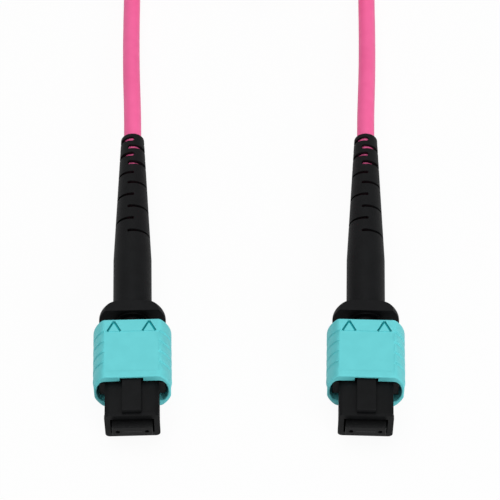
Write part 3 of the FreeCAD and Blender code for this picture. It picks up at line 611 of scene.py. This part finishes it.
def arrow_arms():
    """The cutters for the two pull arrows: the arms that lean one way, and those that lean the other."""
    arms = {-1: [], 1: []}
    length = math.hypot(ARROW_HALF_WIDTH, ARROW_LENGTH)
    lean = math.atan2(ARROW_HALF_WIDTH, ARROW_LENGTH)
    top = SLEEVE_HEIGHT / 2
    for centre in (-ARROW_X, ARROW_X):
        for side in (-1, 1):
            arm = add_box("arrow_arm", about(ARROW_LINE), (-length, 0), (top - ARROW_DEPTH, top + CUT_PAST))
            arm.rotation_euler.z = side * lean
            arm.location = (centre, ARROW_TIP, 0)
            use(arm)
            bpy.ops.object.transform_apply(location=True, rotation=True, scale=True)
            arms[side].append(arm)
    return [as_one(arms[side]) for side in arms]


def paint_grooves(sleeve):
    """Marks the bottom of the arrows' grooves, where shade is painted into the plastic's colour."""
    bottom = SLEEVE_HEIGHT / 2 - ARROW_DEPTH
    groove = sleeve.data.color_attributes.new("groove", "FLOAT_COLOR", "POINT")
    for point, mark in zip(sleeve.data.vertices, groove.data):
        deep = abs(point.co.z - bottom) < TINY and point.co.y > PANEL_Y[1] - ARROW_LINE
        mark.color = (1, 1, 1, 1) if deep else (0, 0, 0, 1)


def coupling_sleeve():
    """The push-pull sleeve, with rims, grips, keyway, spring lugs, a shallow panel and pull arrows."""
    sleeve = cut_from(sleeve_outside(), [sleeve_hole()])
    join_to(sleeve, [add_box("lug", side_span(side, *LUG_X), LUG_Y, about(LUG_HEIGHT)) for side in (-1, 1)])
    top = SLEEVE_HEIGHT / 2
    keyway = add_box("keyway", about(KEYWAY_WIDTH), (SLEEVE_FRONT - CUT_PAST, KEYWAY_END), (0, KEYWAY_TOP))
    panel = add_box("panel", about(PANEL_WIDTH), PANEL_Y, (top - PANEL_DEPTH, top + CUT_PAST))
    cut_from(sleeve, [keyway] + arrow_arms() + [panel])
    smooth(sleeve)
    # Painted shade at the bottom of the arrows' grooves
    paint_grooves(sleeve)
    return sleeve


def housing_bar():
    """The long bar of the inner plug, with its four sloped shoulders."""
    bar = add_bar("plug_housing", HOUSING_WIDTH, HOUSING_HEIGHT, (LIP_REAR, HOUSING_REAR))
    edit(bar)
    for side_x in (-1, 1):
        for side_z in (-1, 1):
            corner = (side_x * HOUSING_WIDTH / 2, LIP_REAR, side_z * (HOUSING_HEIGHT / 2 - SHOULDER_DROP))
            slope = (side_x * SHOULDER_DROP, 0, side_z * SHOULDER_WIDTH)
            bpy.ops.mesh.select_all(action="SELECT")
            bpy.ops.mesh.bisect(plane_co=corner, plane_no=slope, use_fill=True, clear_outer=True)
    leave_edit()
    return bar


def housing_lip():
    """The lip round the inner plug's mouth, with its corners rounded."""
    lip = add_bar("lip", LIP_WIDTH, LIP_HEIGHT, (HOUSING_FRONT, LIP_REAR))
    edit(lip)
    lip_y = (HOUSING_FRONT + LIP_REAR) / 2
    pick("EDGE", lambda point: abs(point.y - lip_y) < TINY and abs(point.x) > FINE_EDGE
         and abs(point.z) > FINE_EDGE)
    bpy.ops.mesh.bevel(offset=LIP_ROUND, segments=LIP_SEGMENTS, affect="EDGES")
    leave_edit()
    return lip


def housing_key():
    """The key along the inner plug's top, with its front edge rounded."""
    key = add_box("key", about(KEY_WIDTH), (KEY_FRONT, KEY_REAR), (MOUTH_HEIGHT / 2 + KEY_ROOT, KEY_TOP))
    edit(key)
    pick("EDGE", lambda point: abs(point.y - KEY_FRONT) < TINY and abs(point.z - KEY_TOP) < TINY)
    bpy.ops.mesh.bevel(offset=KEY_CHAMFER, segments=KEY_SEGMENTS, affect="EDGES")
    leave_edit()
    return key


def plug_housing():
    """The inner plug, with its lip, shoulders, key, latch notches, spring channels and stepped hole."""
    housing = housing_bar()
    added = [housing_lip(), housing_key()]
    cutters = []
    half = HOUSING_WIDTH / 2
    for side in (-1, 1):
        channel = side_span(side, half - FINE_EDGE, half + CHANNEL_REACH)
        added.append(add_box("channel", channel, CHANNEL_Y, about(CHANNEL_HEIGHT)))
        room = side_span(side, half, half + 2 * CHANNEL_REACH)
        cutters.append(add_box("room", room, CHANNEL_ROOM_Y, about(CHANNEL_ROOM_HEIGHT)))
        notch = side_span(side, half - NOTCH_DEPTH, half + NOTCH_DEPTH)
        cutters.append(add_box("notch", notch, NOTCH_Y, about(NOTCH_HEIGHT)))
    cutters.append(add_bar("mouth", MOUTH_WIDTH, MOUTH_HEIGHT, (HOUSING_FRONT - CUT_PAST, MOUTH_END)))
    tunnel_y = (MOUTH_END - CUT_PAST, CAVITY_FRONT + CUT_PAST)
    cutters.append(add_bar("tunnel", TUNNEL_WIDTH, TUNNEL_HEIGHT, tunnel_y))
    cutters.append(add_bar("cavity", CAVITY_WIDTH, CAVITY_HEIGHT, (CAVITY_FRONT, HOUSING_REAR + CUT_PAST)))
    cutters.append(add_bar("snap_window", SNAP_WINDOW_WIDTH, 2 * HOUSING_HEIGHT, SNAP_WINDOW_Y))
    join_to(housing, added)
    cut_from(housing, cutters)
    soften_edges(housing, FINE_EDGE)
    smooth(housing)
    return housing


def ferrule():
    """The ferrule, with its collar, two guide holes, filling window and rear pocket."""
    block = add_bar("ferrule", FERRULE_WIDTH, FERRULE_HEIGHT, (0, FERRULE_LENGTH))
    edit(block)
    pick("EDGE", lambda point: abs(point.y) < TINY)
    bpy.ops.mesh.bevel(offset=FERRULE_EDGE, segments=1, affect="EDGES")
    leave_edit()
    join_to(block, [add_bar("collar", COLLAR_WIDTH, COLLAR_HEIGHT, (COLLAR_FRONT, FERRULE_LENGTH))])
    end = FERRULE_LENGTH + CUT_PAST
    cutters = [add_rod("guide_hole", GUIDE_HOLE_DIA, (-CUT_PAST, end), side * GUIDE_HOLE_X)
               for side in (-1, 1)]
    cutters.append(add_box("window", WINDOW["x"], WINDOW["y"], WINDOW["z"]))
    cutters.append(add_bar("pocket", POCKET_WIDTH, POCKET_HEIGHT, (POCKET_FRONT, end)))
    cut_from(block, cutters)
    soften_edges(block, FINE_EDGE / 2)
    smooth(block)
    return block


def fibre_x(index):
    """The place of one fibre in the row."""
    return (index - (FIBRE_COUNT - 1) / 2) * FIBRE_PITCH


def fibre_tips():
    """The polished ends of the fibres, a row of small discs in the ferrule's face."""
    row = as_one([add_rod("fibre_tips", FIBRE_TIP_DIA, FIBRE_TIP_Y, fibre_x(index), FIBRE_TIP_POINTS)
                  for index in range(FIBRE_COUNT)])
    smooth(row)
    return row


def boot_profile():
    """The boot's outline as (diameter, y) steps, from the flange's front round the tip to the pocket."""
    barrel = BOOT_BARREL_DIA
    core = FLANGE_DIA - 2 * FLANGE_ROUND
    dome_start = BOOT_FRONT + FLANGE_RIM
    steps = [(FLANGE_DIA, BOOT_FRONT), (FLANGE_DIA, dome_start)]
    for index in range(1, DOME_STEPS + 1):
        angle = math.pi / 2 * index / DOME_STEPS
        steps.append((core + 2 * FLANGE_ROUND * math.cos(angle),
                      dome_start + FLANGE_DOME_LENGTH * math.sin(angle)))
    steps.append((barrel, dome_start + FLANGE_DOME_LENGTH))
    steps.append((barrel, BOOT_TAPER_START - BOOT_TAPER_LEAD))
    steps.append((barrel, BOOT_TAPER_START))
    slope = (barrel - BOOT_TIP_DIA) / (BOOT_END - BOOT_TAPER_START)
    tip_start = BOOT_END - BOOT_TIP_ROUND
    steps.append((BOOT_TIP_DIA + slope * BOOT_TIP_ROUND, tip_start))
    for index in range(1, RIM_STEPS + 1):
        angle = math.pi / 2 * index / RIM_STEPS
        steps.append((BOOT_TIP_DIA - 2 * BOOT_TIP_ROUND * (1 - math.cos(angle)),
                      tip_start + BOOT_TIP_ROUND * math.sin(angle)))
    steps.append((BOOT_BORE_DIA, BOOT_END))
    steps.append((BOOT_BORE_DIA, BOOT_POCKET_END + (BOOT_POCKET_DIA - BOOT_BORE_DIA) / 2))
    steps.append((BOOT_POCKET_DIA, BOOT_POCKET_END))
    steps.append((BOOT_POCKET_DIA, BOOT_FRONT))
    return steps


def shape_slit(cutter, inner_x, outer_x, y, width):
    """Rounds the end of a slit's cutter near the boot's top and draws the other together at its side."""
    edit(cutter)
    pick("VERT", lambda point: abs(point.x - outer_x) < TINY)
    bpy.ops.transform.resize(value=(1, SLIT_SIDE_SHARE, 1), center_override=(outer_x, y, 0))
    pick("EDGE", lambda point: abs(point.x - inner_x) < TINY and abs(abs(point.y - y) - width / 2) < TINY)
    bpy.ops.mesh.bevel(offset=SLIT_END_ROUND * width, segments=SLIT_END_SEGMENTS, affect="EDGES")
    leave_edit()


def boot_slits():
    """The cutters for the slits: at each place one from past the top down one side, and one opposite it."""
    cutters = {1: [], -1: []}
    outside = BOOT_BARREL_DIA
    place = BOOT_END - SLIT_TIP_MARGIN
    for index, pitch in enumerate([0.0, *SLIT_PITCHES]):
        place -= pitch
        side = -1 if index % 2 == 0 else 1
        width = TIP_SLIT_WIDTH if index < TIP_SLIT_COUNT else SLIT_WIDTH
        along = (place - width / 2, place + width / 2)
        for half in cutters:
            inner_x = -half * side * SLIT_PAST_TOP[side]
            outer_x = half * side * outside
            height = side_span(half, -SLIT_PAST_SIDE, outside)
            slit = add_box("slit", sorted((inner_x, outer_x)), along, height)
            shape_slit(slit, inner_x, outer_x, place, width)
            cutters[half].append(slit)
    return [as_one(slits) for slits in cutters.values()]


def strain_relief_boot():
    """The boot: a domed flange with flats, a barrel and a slit taper round the cable."""
    steps = boot_profile()
    boot = add_ring("strain_relief_boot", steps[0][0], steps[0][1], BOOT_POINTS)
    edit(boot)
    bpy.ops.mesh.select_all(action="SELECT")
    carry_ring([(diameter, diameter, y) for diameter, y in steps])
    pick("EDGE", lambda point: abs(point.y - BOOT_FRONT) < TINY)
    bpy.ops.mesh.bridge_edge_loops()
    flange_end = BOOT_FRONT + FLANGE_RIM + FLANGE_DOME_LENGTH + TINY
    slice_flats(FLANGE_HEIGHT / 2, flange_end)
    close_mesh()
    leave_edit()
    cut_from(boot, boot_slits())
    soften_edges(boot, FINE_EDGE, BOOT_EDGE_ANGLE_DEG)
    smooth(boot)
    return boot


def coil_spring(name, x, diameter, wire, y, turns, half_straight=0.0):
    """A spring of round wire, screwed about its axis. An oval one has its two halves drawn apart."""
    deselect()
    radius = (diameter - wire) / 2
    start = (radius, y[0] + wire / 2, 0)
    bpy.ops.mesh.primitive_circle_add(vertices=WIRE_POINTS, radius=wire / 2, location=start)
    spring = settle(name)
    apply_modifier(spring, "SCREW", axis="Y", iterations=turns, screw_offset=(y[1] - y[0] - wire) / turns,
                   steps=SPRING_STEPS, render_steps=SPRING_STEPS)
    edit(spring)
    for side in (-1, 1):
        pick("VERT", lambda point: side * point.x > 0)
        bpy.ops.transform.translate(value=(side * half_straight, 0, 0))
    bpy.ops.mesh.select_all(action="SELECT")
    bpy.ops.transform.translate(value=(x, 0, 0))
    bpy.ops.mesh.fill_holes(sides=0)
    close_mesh()
    leave_edit()
    smooth(spring, WIRE_ANGLE_DEG)
    return spring


def coupling_spring(side, x):
    """One of the two springs that push the sleeve forward."""
    return coil_spring("coupling_spring_" + side, x, COUPLING_SPRING_DIA, COUPLING_SPRING_WIRE,
                       COUPLING_SPRING_Y, COUPLING_SPRING_TURNS)


def ferrule_spring():
    """The oval spring that pushes the ferrule forward."""
    half_straight = (FERRULE_SPRING_WIDTH - FERRULE_SPRING_HEIGHT) / 2
    return coil_spring("ferrule_spring", 0, FERRULE_SPRING_HEIGHT, FERRULE_SPRING_WIRE, FERRULE_SPRING_Y,
                       FERRULE_SPRING_TURNS, half_straight)


def fibre_ribbon():
    """The fibres, side by side in a flat ribbon and then gathered to a bundle in layers."""
    strands = []
    columns = FIBRE_COUNT // RIBBON_LAYERS
    for index in range(FIBRE_COUNT):
        x = fibre_x(index)
        gathered_x = (index // RIBBON_LAYERS - (columns - 1) / 2) * FIBRE_PITCH
        gathered_z = (index % RIBBON_LAYERS - (RIBBON_LAYERS - 1) / 2) * FIBRE_PITCH
        strand = add_ring("fibre_ribbon", FIBRE_DIA, RIBBON_Y[0], FIBRE_POINTS, x)
        edit(strand)
        bpy.ops.mesh.select_all(action="SELECT")
        shifts = [(0, RIBBON_Y[1] - RIBBON_Y[0], 0),
                  (gathered_x - x, RIBBON_Y[2] - RIBBON_Y[1], gathered_z),
                  (0, RIBBON_Y[3] - RIBBON_Y[2], 0)]
        for shift in shifts:
            bpy.ops.mesh.extrude_edges_move(TRANSFORM_OT_translate={"value": shift})
        bpy.ops.mesh.select_all(action="SELECT")
        bpy.ops.mesh.fill_holes(sides=0)
        close_mesh()
        leave_edit()
        coating = strand.data.color_attributes.new("coating", "FLOAT_COLOR", "POINT")
        for point in coating.data:
            point.color = (*FIBRE_COLOURS[index], 1)
        strands.append(strand)
    ribbon = as_one(strands)
    smooth(ribbon, WIRE_ANGLE_DEG)
    return ribbon


def strap_outline(name):
    """The outline of the tie's inner face: a rounded square round the coil's bundle, parted along its top."""
    low = COIL_BASE - TIE_GAP
    size = BUNDLE_SIZE + 2 * TIE_GAP
    deselect()
    bpy.ops.mesh.primitive_plane_add(size=size, location=(COIL_MEAN_RADIUS, 0, low + size / 2),
                                     rotation=(math.pi / 2, 0, 0))
    outline = settle(name)
    edit(outline)
    bpy.ops.mesh.select_all(action="SELECT")
    bpy.ops.mesh.bevel(offset=BUNDLE_CORNER, segments=BUNDLE_CORNER_SEGMENTS, affect="VERTICES")
    bpy.ops.mesh.select_mode(type="FACE")
    bpy.ops.mesh.select_all(action="SELECT")
    bpy.ops.mesh.delete(type="ONLY_FACE")
    pick("EDGE", lambda point: abs(point.x - COIL_MEAN_RADIUS) < TINY and point.z > low + size / 2)
    bpy.ops.mesh.subdivide(number_cuts=TIE_TAB_CUTS)
    leave_edit()
    return outline


def on_tab(point):
    """Tells whether a point of the strap is under the lapped end."""
    from_middle = abs(point.xy.length - COIL_MEAN_RADIUS)
    return point.z > COIL_BASE + BUNDLE_SIZE and from_middle < TIE_TAB_LENGTH / 2


def cable_tie(name):
    """A strap round the bundle with its loose end lapped over the top."""
    strap = strap_outline(name)
    edit(strap)
    bpy.ops.mesh.select_all(action="SELECT")
    sweep = math.radians(TIE_SWEEP_DEG)
    bpy.ops.mesh.spin(steps=TIE_SWEEP_STEPS, angle=sweep, center=(0, 0, 0), axis=(0, 0, 1))
    close_mesh()
    pick("FACE", on_tab)
    if sum(face.normal.z for face in bmesh.from_edit_mesh(strap.data).faces if face.select) < 0:
        bpy.ops.mesh.select_all(action="SELECT")
        bpy.ops.mesh.flip_normals()
        pick("FACE", on_tab)
    bpy.ops.mesh.duplicate()
    bpy.ops.transform.translate(value=(0, 0, TIE_THICKNESS))
    leave_edit()
    apply_modifier(strap, "SOLIDIFY", thickness=TIE_THICKNESS, offset=1)
    soften_edges(strap, TIE_EDGE, TIE_ANGLE_DEG)
    smooth(strap, TIE_ANGLE_DEG)
    return strap


def place_in_row(piece, place):
    """Moves a finished mesh to its place, with its object left at the origin."""
    piece.data.transform(place)
    piece.data.update()
    return piece


def copy_of(piece, name):
    """A copy with a mesh of its own."""
    double = piece.copy()
    double.data = piece.data.copy()
    double.name = name
    bpy.context.scene.collection.objects.link(double)
    return double


# The plug's pieces, each modelled once and copied to both ends: the model, its body and its finish
PLUG_PIECES = {
    "coupling_sleeve": (coupling_sleeve(), "sleeve_", "aqua_plastic"),
    "plug_housing": (plug_housing(), "cable", "black_plastic"),
    "ferrule": (ferrule(), "ferrule_set_", "ferrule_plastic"),
    "strain_relief_boot": (strain_relief_boot(), "cable", "boot_rubber"),
    "coupling_spring_left": (coupling_spring("left", -COUPLING_SPRING_X), "cable", "spring_steel"),
    "coupling_spring_right": (coupling_spring("right", COUPLING_SPRING_X), "cable", "spring_steel"),
    "ferrule_spring": (ferrule_spring(), "cable", "spring_steel"),
    "fibre_ribbon": (fibre_ribbon(), "cable", "ribbon"),
}
TIPS = fibre_tips()

pieces = {}
finish_names = {}
for name, (model, body, slot) in PLUG_PIECES.items():
    for letter in "ab":
        node = name + "_" + letter
        piece = copy_of(model, "look_" + node)
        place_in_row(piece, END_PLACES[letter])
        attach(piece, body + letter if body.endswith("_") else body)
        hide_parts(node)
        pieces[node] = piece
        finish_names[node] = slot
    bpy.data.objects.remove(model)
for letter in "ab":
    tips = place_in_row(copy_of(TIPS, "fibre_tips_" + letter), END_PLACES[letter])
    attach(tips, "ferrule_set_" + letter)
    pieces["fibre_tips_" + letter] = tips
    finish_names["fibre_tips_" + letter] = "fibre_glass"
    for side in ("left", "right"):
        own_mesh(pieces[f"coupling_spring_{side}_{letter}"])
    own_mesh(pieces["ferrule_spring_" + letter])
    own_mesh(pieces["fibre_ribbon_" + letter])
bpy.data.objects.remove(TIPS)

for name, centre in TIE_PLACES_DEG.items():
    tie = cable_tie("look_" + name)
    turn = Matrix.Rotation(math.radians(centre + TIE_SWEEP_DEG / 2), 4, "Z")
    place_in_row(tie, Matrix.Scale(MM, 4) @ Matrix.Translation(COIL_CENTRE) @ turn)
    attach(tie, "cable")
    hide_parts(name)
    pieces[name] = tie
    finish_names[name] = "tie_strap"


def coil_points():
    """The turns of the coil: each keeps to its slot and shifts to the next one on the coil's near side.

    A turn that goes round a corner of the bundle starts its shift a little sooner, to make room for the one
    before. The lowest turns sag between the two straps.
    """
    points = []
    inner = COIL_MEAN_RADIUS - COIL_MIDDLE_COLUMN * COIL_PITCH
    slots = [Vector(slot) for slot in COIL_SLOTS]
    steps = int(COIL_POINTS * (len(slots) - COIL_LAST_TURN_SHORT))
    corners = 0
    for step in range(1, steps):
        turns = step / COIL_POINTS
        index = int(turns)
        here = slots[index]
        there = slots[min(index + 1, len(slots) - 1)]
        if step % COIL_POINTS == 0 and here - slots[index - 1] != there - here:
            corners += 1
        start = COIL_SHIFT_START - COIL_CORNER_LEAD * corners
        share = min(max((turns - index - start) / COIL_SHIFT_LENGTH, 0), 1)
        ease = share * share * (3 - 2 * share)
        slot = here.lerp(there, ease)
        angle = math.pi - 2 * math.pi * turns
        radius = inner + slot.x * COIL_PITCH
        height = COIL_BASE + CABLE_DIA / 2 + slot.y * COIL_PITCH
        height -= COIL_SAG * max(0, 1 - slot.y) * max(0, math.cos(angle)) ** 2
        points.append(COIL_CENTRE + Vector((radius * math.cos(angle), radius * math.sin(angle), height)))
    return points


def cable():
    """The whole cable on one smooth line, from one plug's crimp through the coil to the other's."""
    axis_steps = [*CABLE_IN_BOOT, BOOT_END, BOOT_END + RUN_LEAD]
    route = [point_of("a", 0, y, 0) for y in axis_steps]
    route += [Vector(point) * MM for point in RUN_A]
    route += [point * MM for point in coil_points()]
    route += [Vector(point) * MM for point in reversed(RUN_B)]
    route += [point_of("b", 0, y, 0) for y in reversed(axis_steps)]
    curve = bpy.data.curves.new("cable", "CURVE")
    curve.dimensions = "3D"
    spline = curve.splines.new("NURBS")
    spline.points.add(len(route) - 1)
    for control, place in zip(spline.points, route):
        control.co = (*place, 1)
        control.radius = CABLE_DIA * MM / 2
    spline.order_u = CABLE_ORDER
    spline.use_endpoint_u = True
    curve.resolution_u = CABLE_RESOLUTION
    curve.bevel_depth = 1
    curve.bevel_resolution = CABLE_BEVEL_RESOLUTION
    curve.use_fill_caps = True
    piece = bpy.data.objects.new("cable", curve)
    bpy.context.scene.collection.objects.link(piece)
    return piece


jacket = cable()
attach(jacket, "cable")
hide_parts("cable_end_a", "cable_end_b", "cable_run_a", "cable_run_b", "cable_coil")
pieces["cable"] = jacket
finish_names["cable"] = "cable_jacket"


def add_node(tree, kind, inputs=None, **settings):
    """Adds a node with its settings and the values of its inputs."""
    node = tree.nodes.new(kind)
    for name, value in settings.items():
        setattr(node, name, value)
    for name, value in (inputs or {}).items():
        node.inputs[name].default_value = value
    return node


def start_finish(name, specular=0.5, metallic=0.0):
    """A new material, its node tree and its shader, with what is the same all over set on the shader."""
    material = bpy.data.materials.new(name)
    material.use_nodes = True
    shader = material.node_tree.nodes["Principled BSDF"]
    shader.inputs["Specular IOR Level"].default_value = specular
    shader.inputs["Metallic"].default_value = metallic
    return material, material.node_tree, shader


def grain(tree, size, detail=3.0, stretch=(1, 1, 1)):
    """Noise on the piece's own coordinates with specks of a size in millimetres, drawn out by stretch."""
    place = add_node(tree, "ShaderNodeTexCoord")
    spread = add_node(tree, "ShaderNodeMapping", {"Scale": [1 / (size * MM * part) for part in stretch]})
    noise = add_node(tree, "ShaderNodeTexNoise", {"Scale": 1.0, "Detail": detail})
    tree.links.new(place.outputs["Object"], spread.inputs["Vector"])
    tree.links.new(spread.outputs["Vector"], noise.inputs["Vector"])
    return noise.outputs["Fac"]


def shade(tree, shader, source, first, second, span=(0.35, 0.65)):
    """Lets the base colour run from one shade to another."""
    ramp = add_node(tree, "ShaderNodeValToRGB")
    for element, position, colour in zip(ramp.color_ramp.elements, span, (first, second)):
        element.position = position
        element.color = (*colour, 1)
    tree.links.new(source, ramp.inputs["Fac"])
    tree.links.new(ramp.outputs["Color"], shader.inputs["Base Color"])


def dull(tree, shader, source, low, high):
    """Lets the roughness run between two values."""
    ends = {"From Min": GRAIN_LOW, "From Max": GRAIN_HIGH, "To Min": low, "To Max": high}
    spread = add_node(tree, "ShaderNodeMapRange", ends)
    tree.links.new(source, spread.inputs["Value"])
    tree.links.new(spread.outputs["Result"], shader.inputs["Roughness"])


def emboss(tree, shader, source, depth, under=None):
    """Raises the surface by a depth in millimetres where the source is high, on top of an earlier relief."""
    bump = add_node(tree, "ShaderNodeBump", {"Strength": 1.0, "Distance": depth * MM})
    tree.links.new(source, bump.inputs["Height"])
    if under:
        tree.links.new(under, bump.inputs["Normal"])
    tree.links.new(bump.outputs["Normal"], shader.inputs["Normal"])
    return bump.outputs["Normal"]


def moulded(name, first, second, roughness, specular, grain_size, depth):
    """A moulded or extruded skin: soft clouds in its colour and gloss, and a fine even grain."""
    material, tree, shader = start_finish(name, specular)
    clouds = grain(tree, GRAINS_TO_CLOUD * grain_size, detail=2.0)
    fine = grain(tree, grain_size)
    shade(tree, shader, clouds, first, second)
    dull(tree, shader, fine, *roughness)
    flow = emboss(tree, shader, clouds, depth)
    emboss(tree, shader, fine, depth, flow)
    return material


def darken_grooves(material):
    """Paints shade into the base colour of the sleeve's plastic at the bottom of the arrows' grooves."""
    tree = material.node_tree
    base = tree.nodes["Principled BSDF"].inputs["Base Color"]
    skin = base.links[0].from_socket
    groove = add_node(tree, "ShaderNodeAttribute", attribute_name="groove")
    mix = add_node(tree, "ShaderNodeMixRGB", {"Color2": GROOVE_SHADE_COLOUR})
    tree.links.new(groove.outputs["Fac"], mix.inputs["Fac"])
    tree.links.new(skin, mix.inputs["Color1"])
    tree.links.new(mix.outputs["Color"], base)


def ferrule_finish():
    """Glass-filled plastic: dark, with pale flecks of glass fibre and faint grinding marks on its face."""
    material, tree, shader = start_finish("ferrule_plastic", specular=0.07)
    flecks = grain(tree, size=0.09, detail=2.0, stretch=(2.5, 1, 1))
    marks = grain(tree, size=0.05, detail=1.0, stretch=(30, 1, 1))
    shade(tree, shader, flecks, first=(0.0052, 0.0054, 0.0057), second=(0.0125, 0.0128, 0.0133),
          span=(0.5, 0.72))
    dull(tree, shader, marks, low=0.36, high=0.5)
    emboss(tree, shader, marks, depth=0.004)
    return material


def metal_finish(name, first, second, roughness, size, stretch):
    """Bare metal with fine lines drawn out along one axis."""
    material, tree, shader = start_finish(name, metallic=1.0)
    lines = grain(tree, size, stretch=stretch)
    shade(tree, shader, lines, first, second)
    dull(tree, shader, lines, *roughness)
    emboss(tree, shader, lines, depth=0.01)
    return material


def yarn_finish():
    """Loose golden fibres that run along the cable."""
    material, tree, shader = start_finish("yarn", specular=0.3)
    shader.inputs["Sheen Weight"].default_value = 0.25
    fibres = grain(tree, size=0.08, stretch=(1, 40, 1))
    shade(tree, shader, fibres, first=(0.46, 0.28, 0.05), second=(0.78, 0.56, 0.14), span=(0.3, 0.7))
    dull(tree, shader, fibres, low=0.45, high=0.75)
    emboss(tree, shader, fibres, depth=0.08)
    return material


def ribbon_finish():
    """The fibres' thin coloured coatings, each fibre in its own colour."""
    material, tree, shader = start_finish("ribbon", specular=0.4)
    coating = add_node(tree, "ShaderNodeAttribute", attribute_name="coating")
    tree.links.new(coating.outputs["Color"], shader.inputs["Base Color"])
    draw = grain(tree, size=0.05, detail=2.0, stretch=(1, 20, 1))
    dull(tree, shader, draw, low=0.25, high=0.4)
    emboss(tree, shader, draw, depth=0.003)
    return material


def strap_finish():
    """Napped hook-and-loop fabric: small loops, a soft sheen and a faintly uneven black."""
    material, tree, shader = start_finish("tie_strap", specular=0.1)
    shader.inputs["Sheen Weight"].default_value = 0.3
    shader.inputs["Sheen Roughness"].default_value = 0.5
    place = add_node(tree, "ShaderNodeTexCoord")
    loops = add_node(tree, "ShaderNodeTexVoronoi", {"Scale": 1 / (STRAP_LOOP * MM), "Randomness": 0.8})
    tree.links.new(place.outputs["Object"], loops.inputs["Vector"])
    nap = grain(tree, size=0.3, detail=4.0)
    shade(tree, shader, nap, first=(0.006, 0.006, 0.0065), second=(0.014, 0.014, 0.015))
    dull(tree, shader, nap, low=0.75, high=0.95)
    knots = emboss(tree, shader, loops.outputs["Distance"], depth=-0.15)
    emboss(tree, shader, nap, depth=0.1, under=knots)
    return material


FINISHES = {
    "ferrule_plastic": ferrule_finish(),
    "yarn": yarn_finish(),
    "ribbon": ribbon_finish(),
    "tie_strap": strap_finish(),
}
for name, skin in MOULDED_SKINS.items():
    FINISHES[name] = moulded(name, **skin)
for name, metal in BARE_METALS.items():
    FINISHES[name] = metal_finish(name, **metal)
# Painted shade in the sleeve's arrow grooves
darken_grooves(FINISHES["aqua_plastic"])
# CAD pieces inside the plug that stay as they are and only get a finish
KEPT_NODES = {"ferrule_boot": "soft_boot", "pin_clamp": "clamp_steel", "spring_push": "black_plastic",
              "aramid_yarn": "yarn", "crimp_ring": "crimp_metal"}

for node, piece in pieces.items():
    piece.data.materials.clear()
    piece.data.materials.append(FINISHES[finish_names[node]])
for name, slot in KEPT_NODES.items():
    for letter in "ab":
        for place in frame["nodes"][name + "_" + letter].material_slots:
            place.material = FINISHES[slot]


def camera():
    """The photograph's viewpoint: above the plugs, looking down their length."""
    lens = bpy.data.cameras.new("camera")
    lens.lens = CAMERA_LENS
    lens.sensor_width = CAMERA_SENSOR
    lens.clip_start = CAMERA_NEAR
    view = bpy.data.objects.new("camera", lens)
    view.location = CAMERA_PLACE
    view.rotation_euler = (math.radians(CAMERA_TILT_DEG), 0, 0)
    bpy.context.scene.collection.objects.link(view)
    bpy.context.scene.camera = view


def white_for_camera(tree, lit, white_share):
    """Mixes a lit shader with plain white for what the camera, a reflection or clear glass sees."""
    path = add_node(tree, "ShaderNodeLightPath")
    seen = path.outputs["Is Camera Ray"]
    for ray in ("Is Glossy Ray", "Is Transmission Ray"):
        either = add_node(tree, "ShaderNodeMath", operation="MAXIMUM")
        tree.links.new(seen, either.inputs[0])
        tree.links.new(path.outputs[ray], either.inputs[1])
        seen = either.outputs[0]
    share = add_node(tree, "ShaderNodeMath", {1: white_share}, operation="MULTIPLY")
    tree.links.new(seen, share.inputs[0])
    kind = "ShaderNodeBackground" if lit.type == "BACKGROUND" else "ShaderNodeEmission"
    white = add_node(tree, kind, {"Color": WHITE, "Strength": 1})
    mix = add_node(tree, "ShaderNodeMixShader")
    for socket, source in enumerate((share, lit, white)):
        tree.links.new(source.outputs[0], mix.inputs[socket])
    return mix.outputs[0]


def lay_floor():
    """A plain white floor."""
    deselect()
    bpy.ops.mesh.primitive_plane_add(size=FLOOR_SIZE, location=(0, 0, 0))
    floor = bpy.context.object
    floor.name = "floor"
    paper = bpy.data.materials.new("floor_paper")
    paper.use_nodes = True
    tree = paper.node_tree
    shader = tree.nodes["Principled BSDF"]
    shader.inputs["Base Color"].default_value = FLOOR_GREY
    shader.inputs["Roughness"].default_value = FLOOR_ROUGHNESS
    surface = white_for_camera(tree, shader, FLOOR_WHITE_SHARE)
    tree.links.new(surface, tree.nodes["Material Output"].inputs["Surface"])
    floor.data.materials.append(paper)


def set_surround():
    """A white surround with a soft light of its own."""
    world = bpy.data.worlds.new("surround")
    bpy.context.scene.world = world
    world.use_nodes = True
    tree = world.node_tree
    backdrop = tree.nodes["Background"]
    backdrop.inputs["Color"].default_value = WHITE
    backdrop.inputs["Strength"].default_value = SURROUND_STRENGTH
    surface = white_for_camera(tree, backdrop, SURROUND_WHITE_SHARE)
    tree.links.new(surface, tree.nodes["World Output"].inputs["Surface"])


def hang_lamps():
    """Soft lamps, each turned to the middle of the plugs."""
    for name, place, size, power in LAMPS:
        lamp = bpy.data.lights.new(name, "AREA")
        lamp.size = size
        lamp.energy = power
        light = bpy.data.objects.new(name, lamp)
        light.location = place
        light.rotation_euler = (-Vector(place)).to_track_quat("-Z", "Y").to_euler()
        bpy.context.scene.collection.objects.link(light)


camera()
lay_floor()
set_surround()
hang_lamps()
bpy.context.scene.view_settings.view_transform = "Standard"
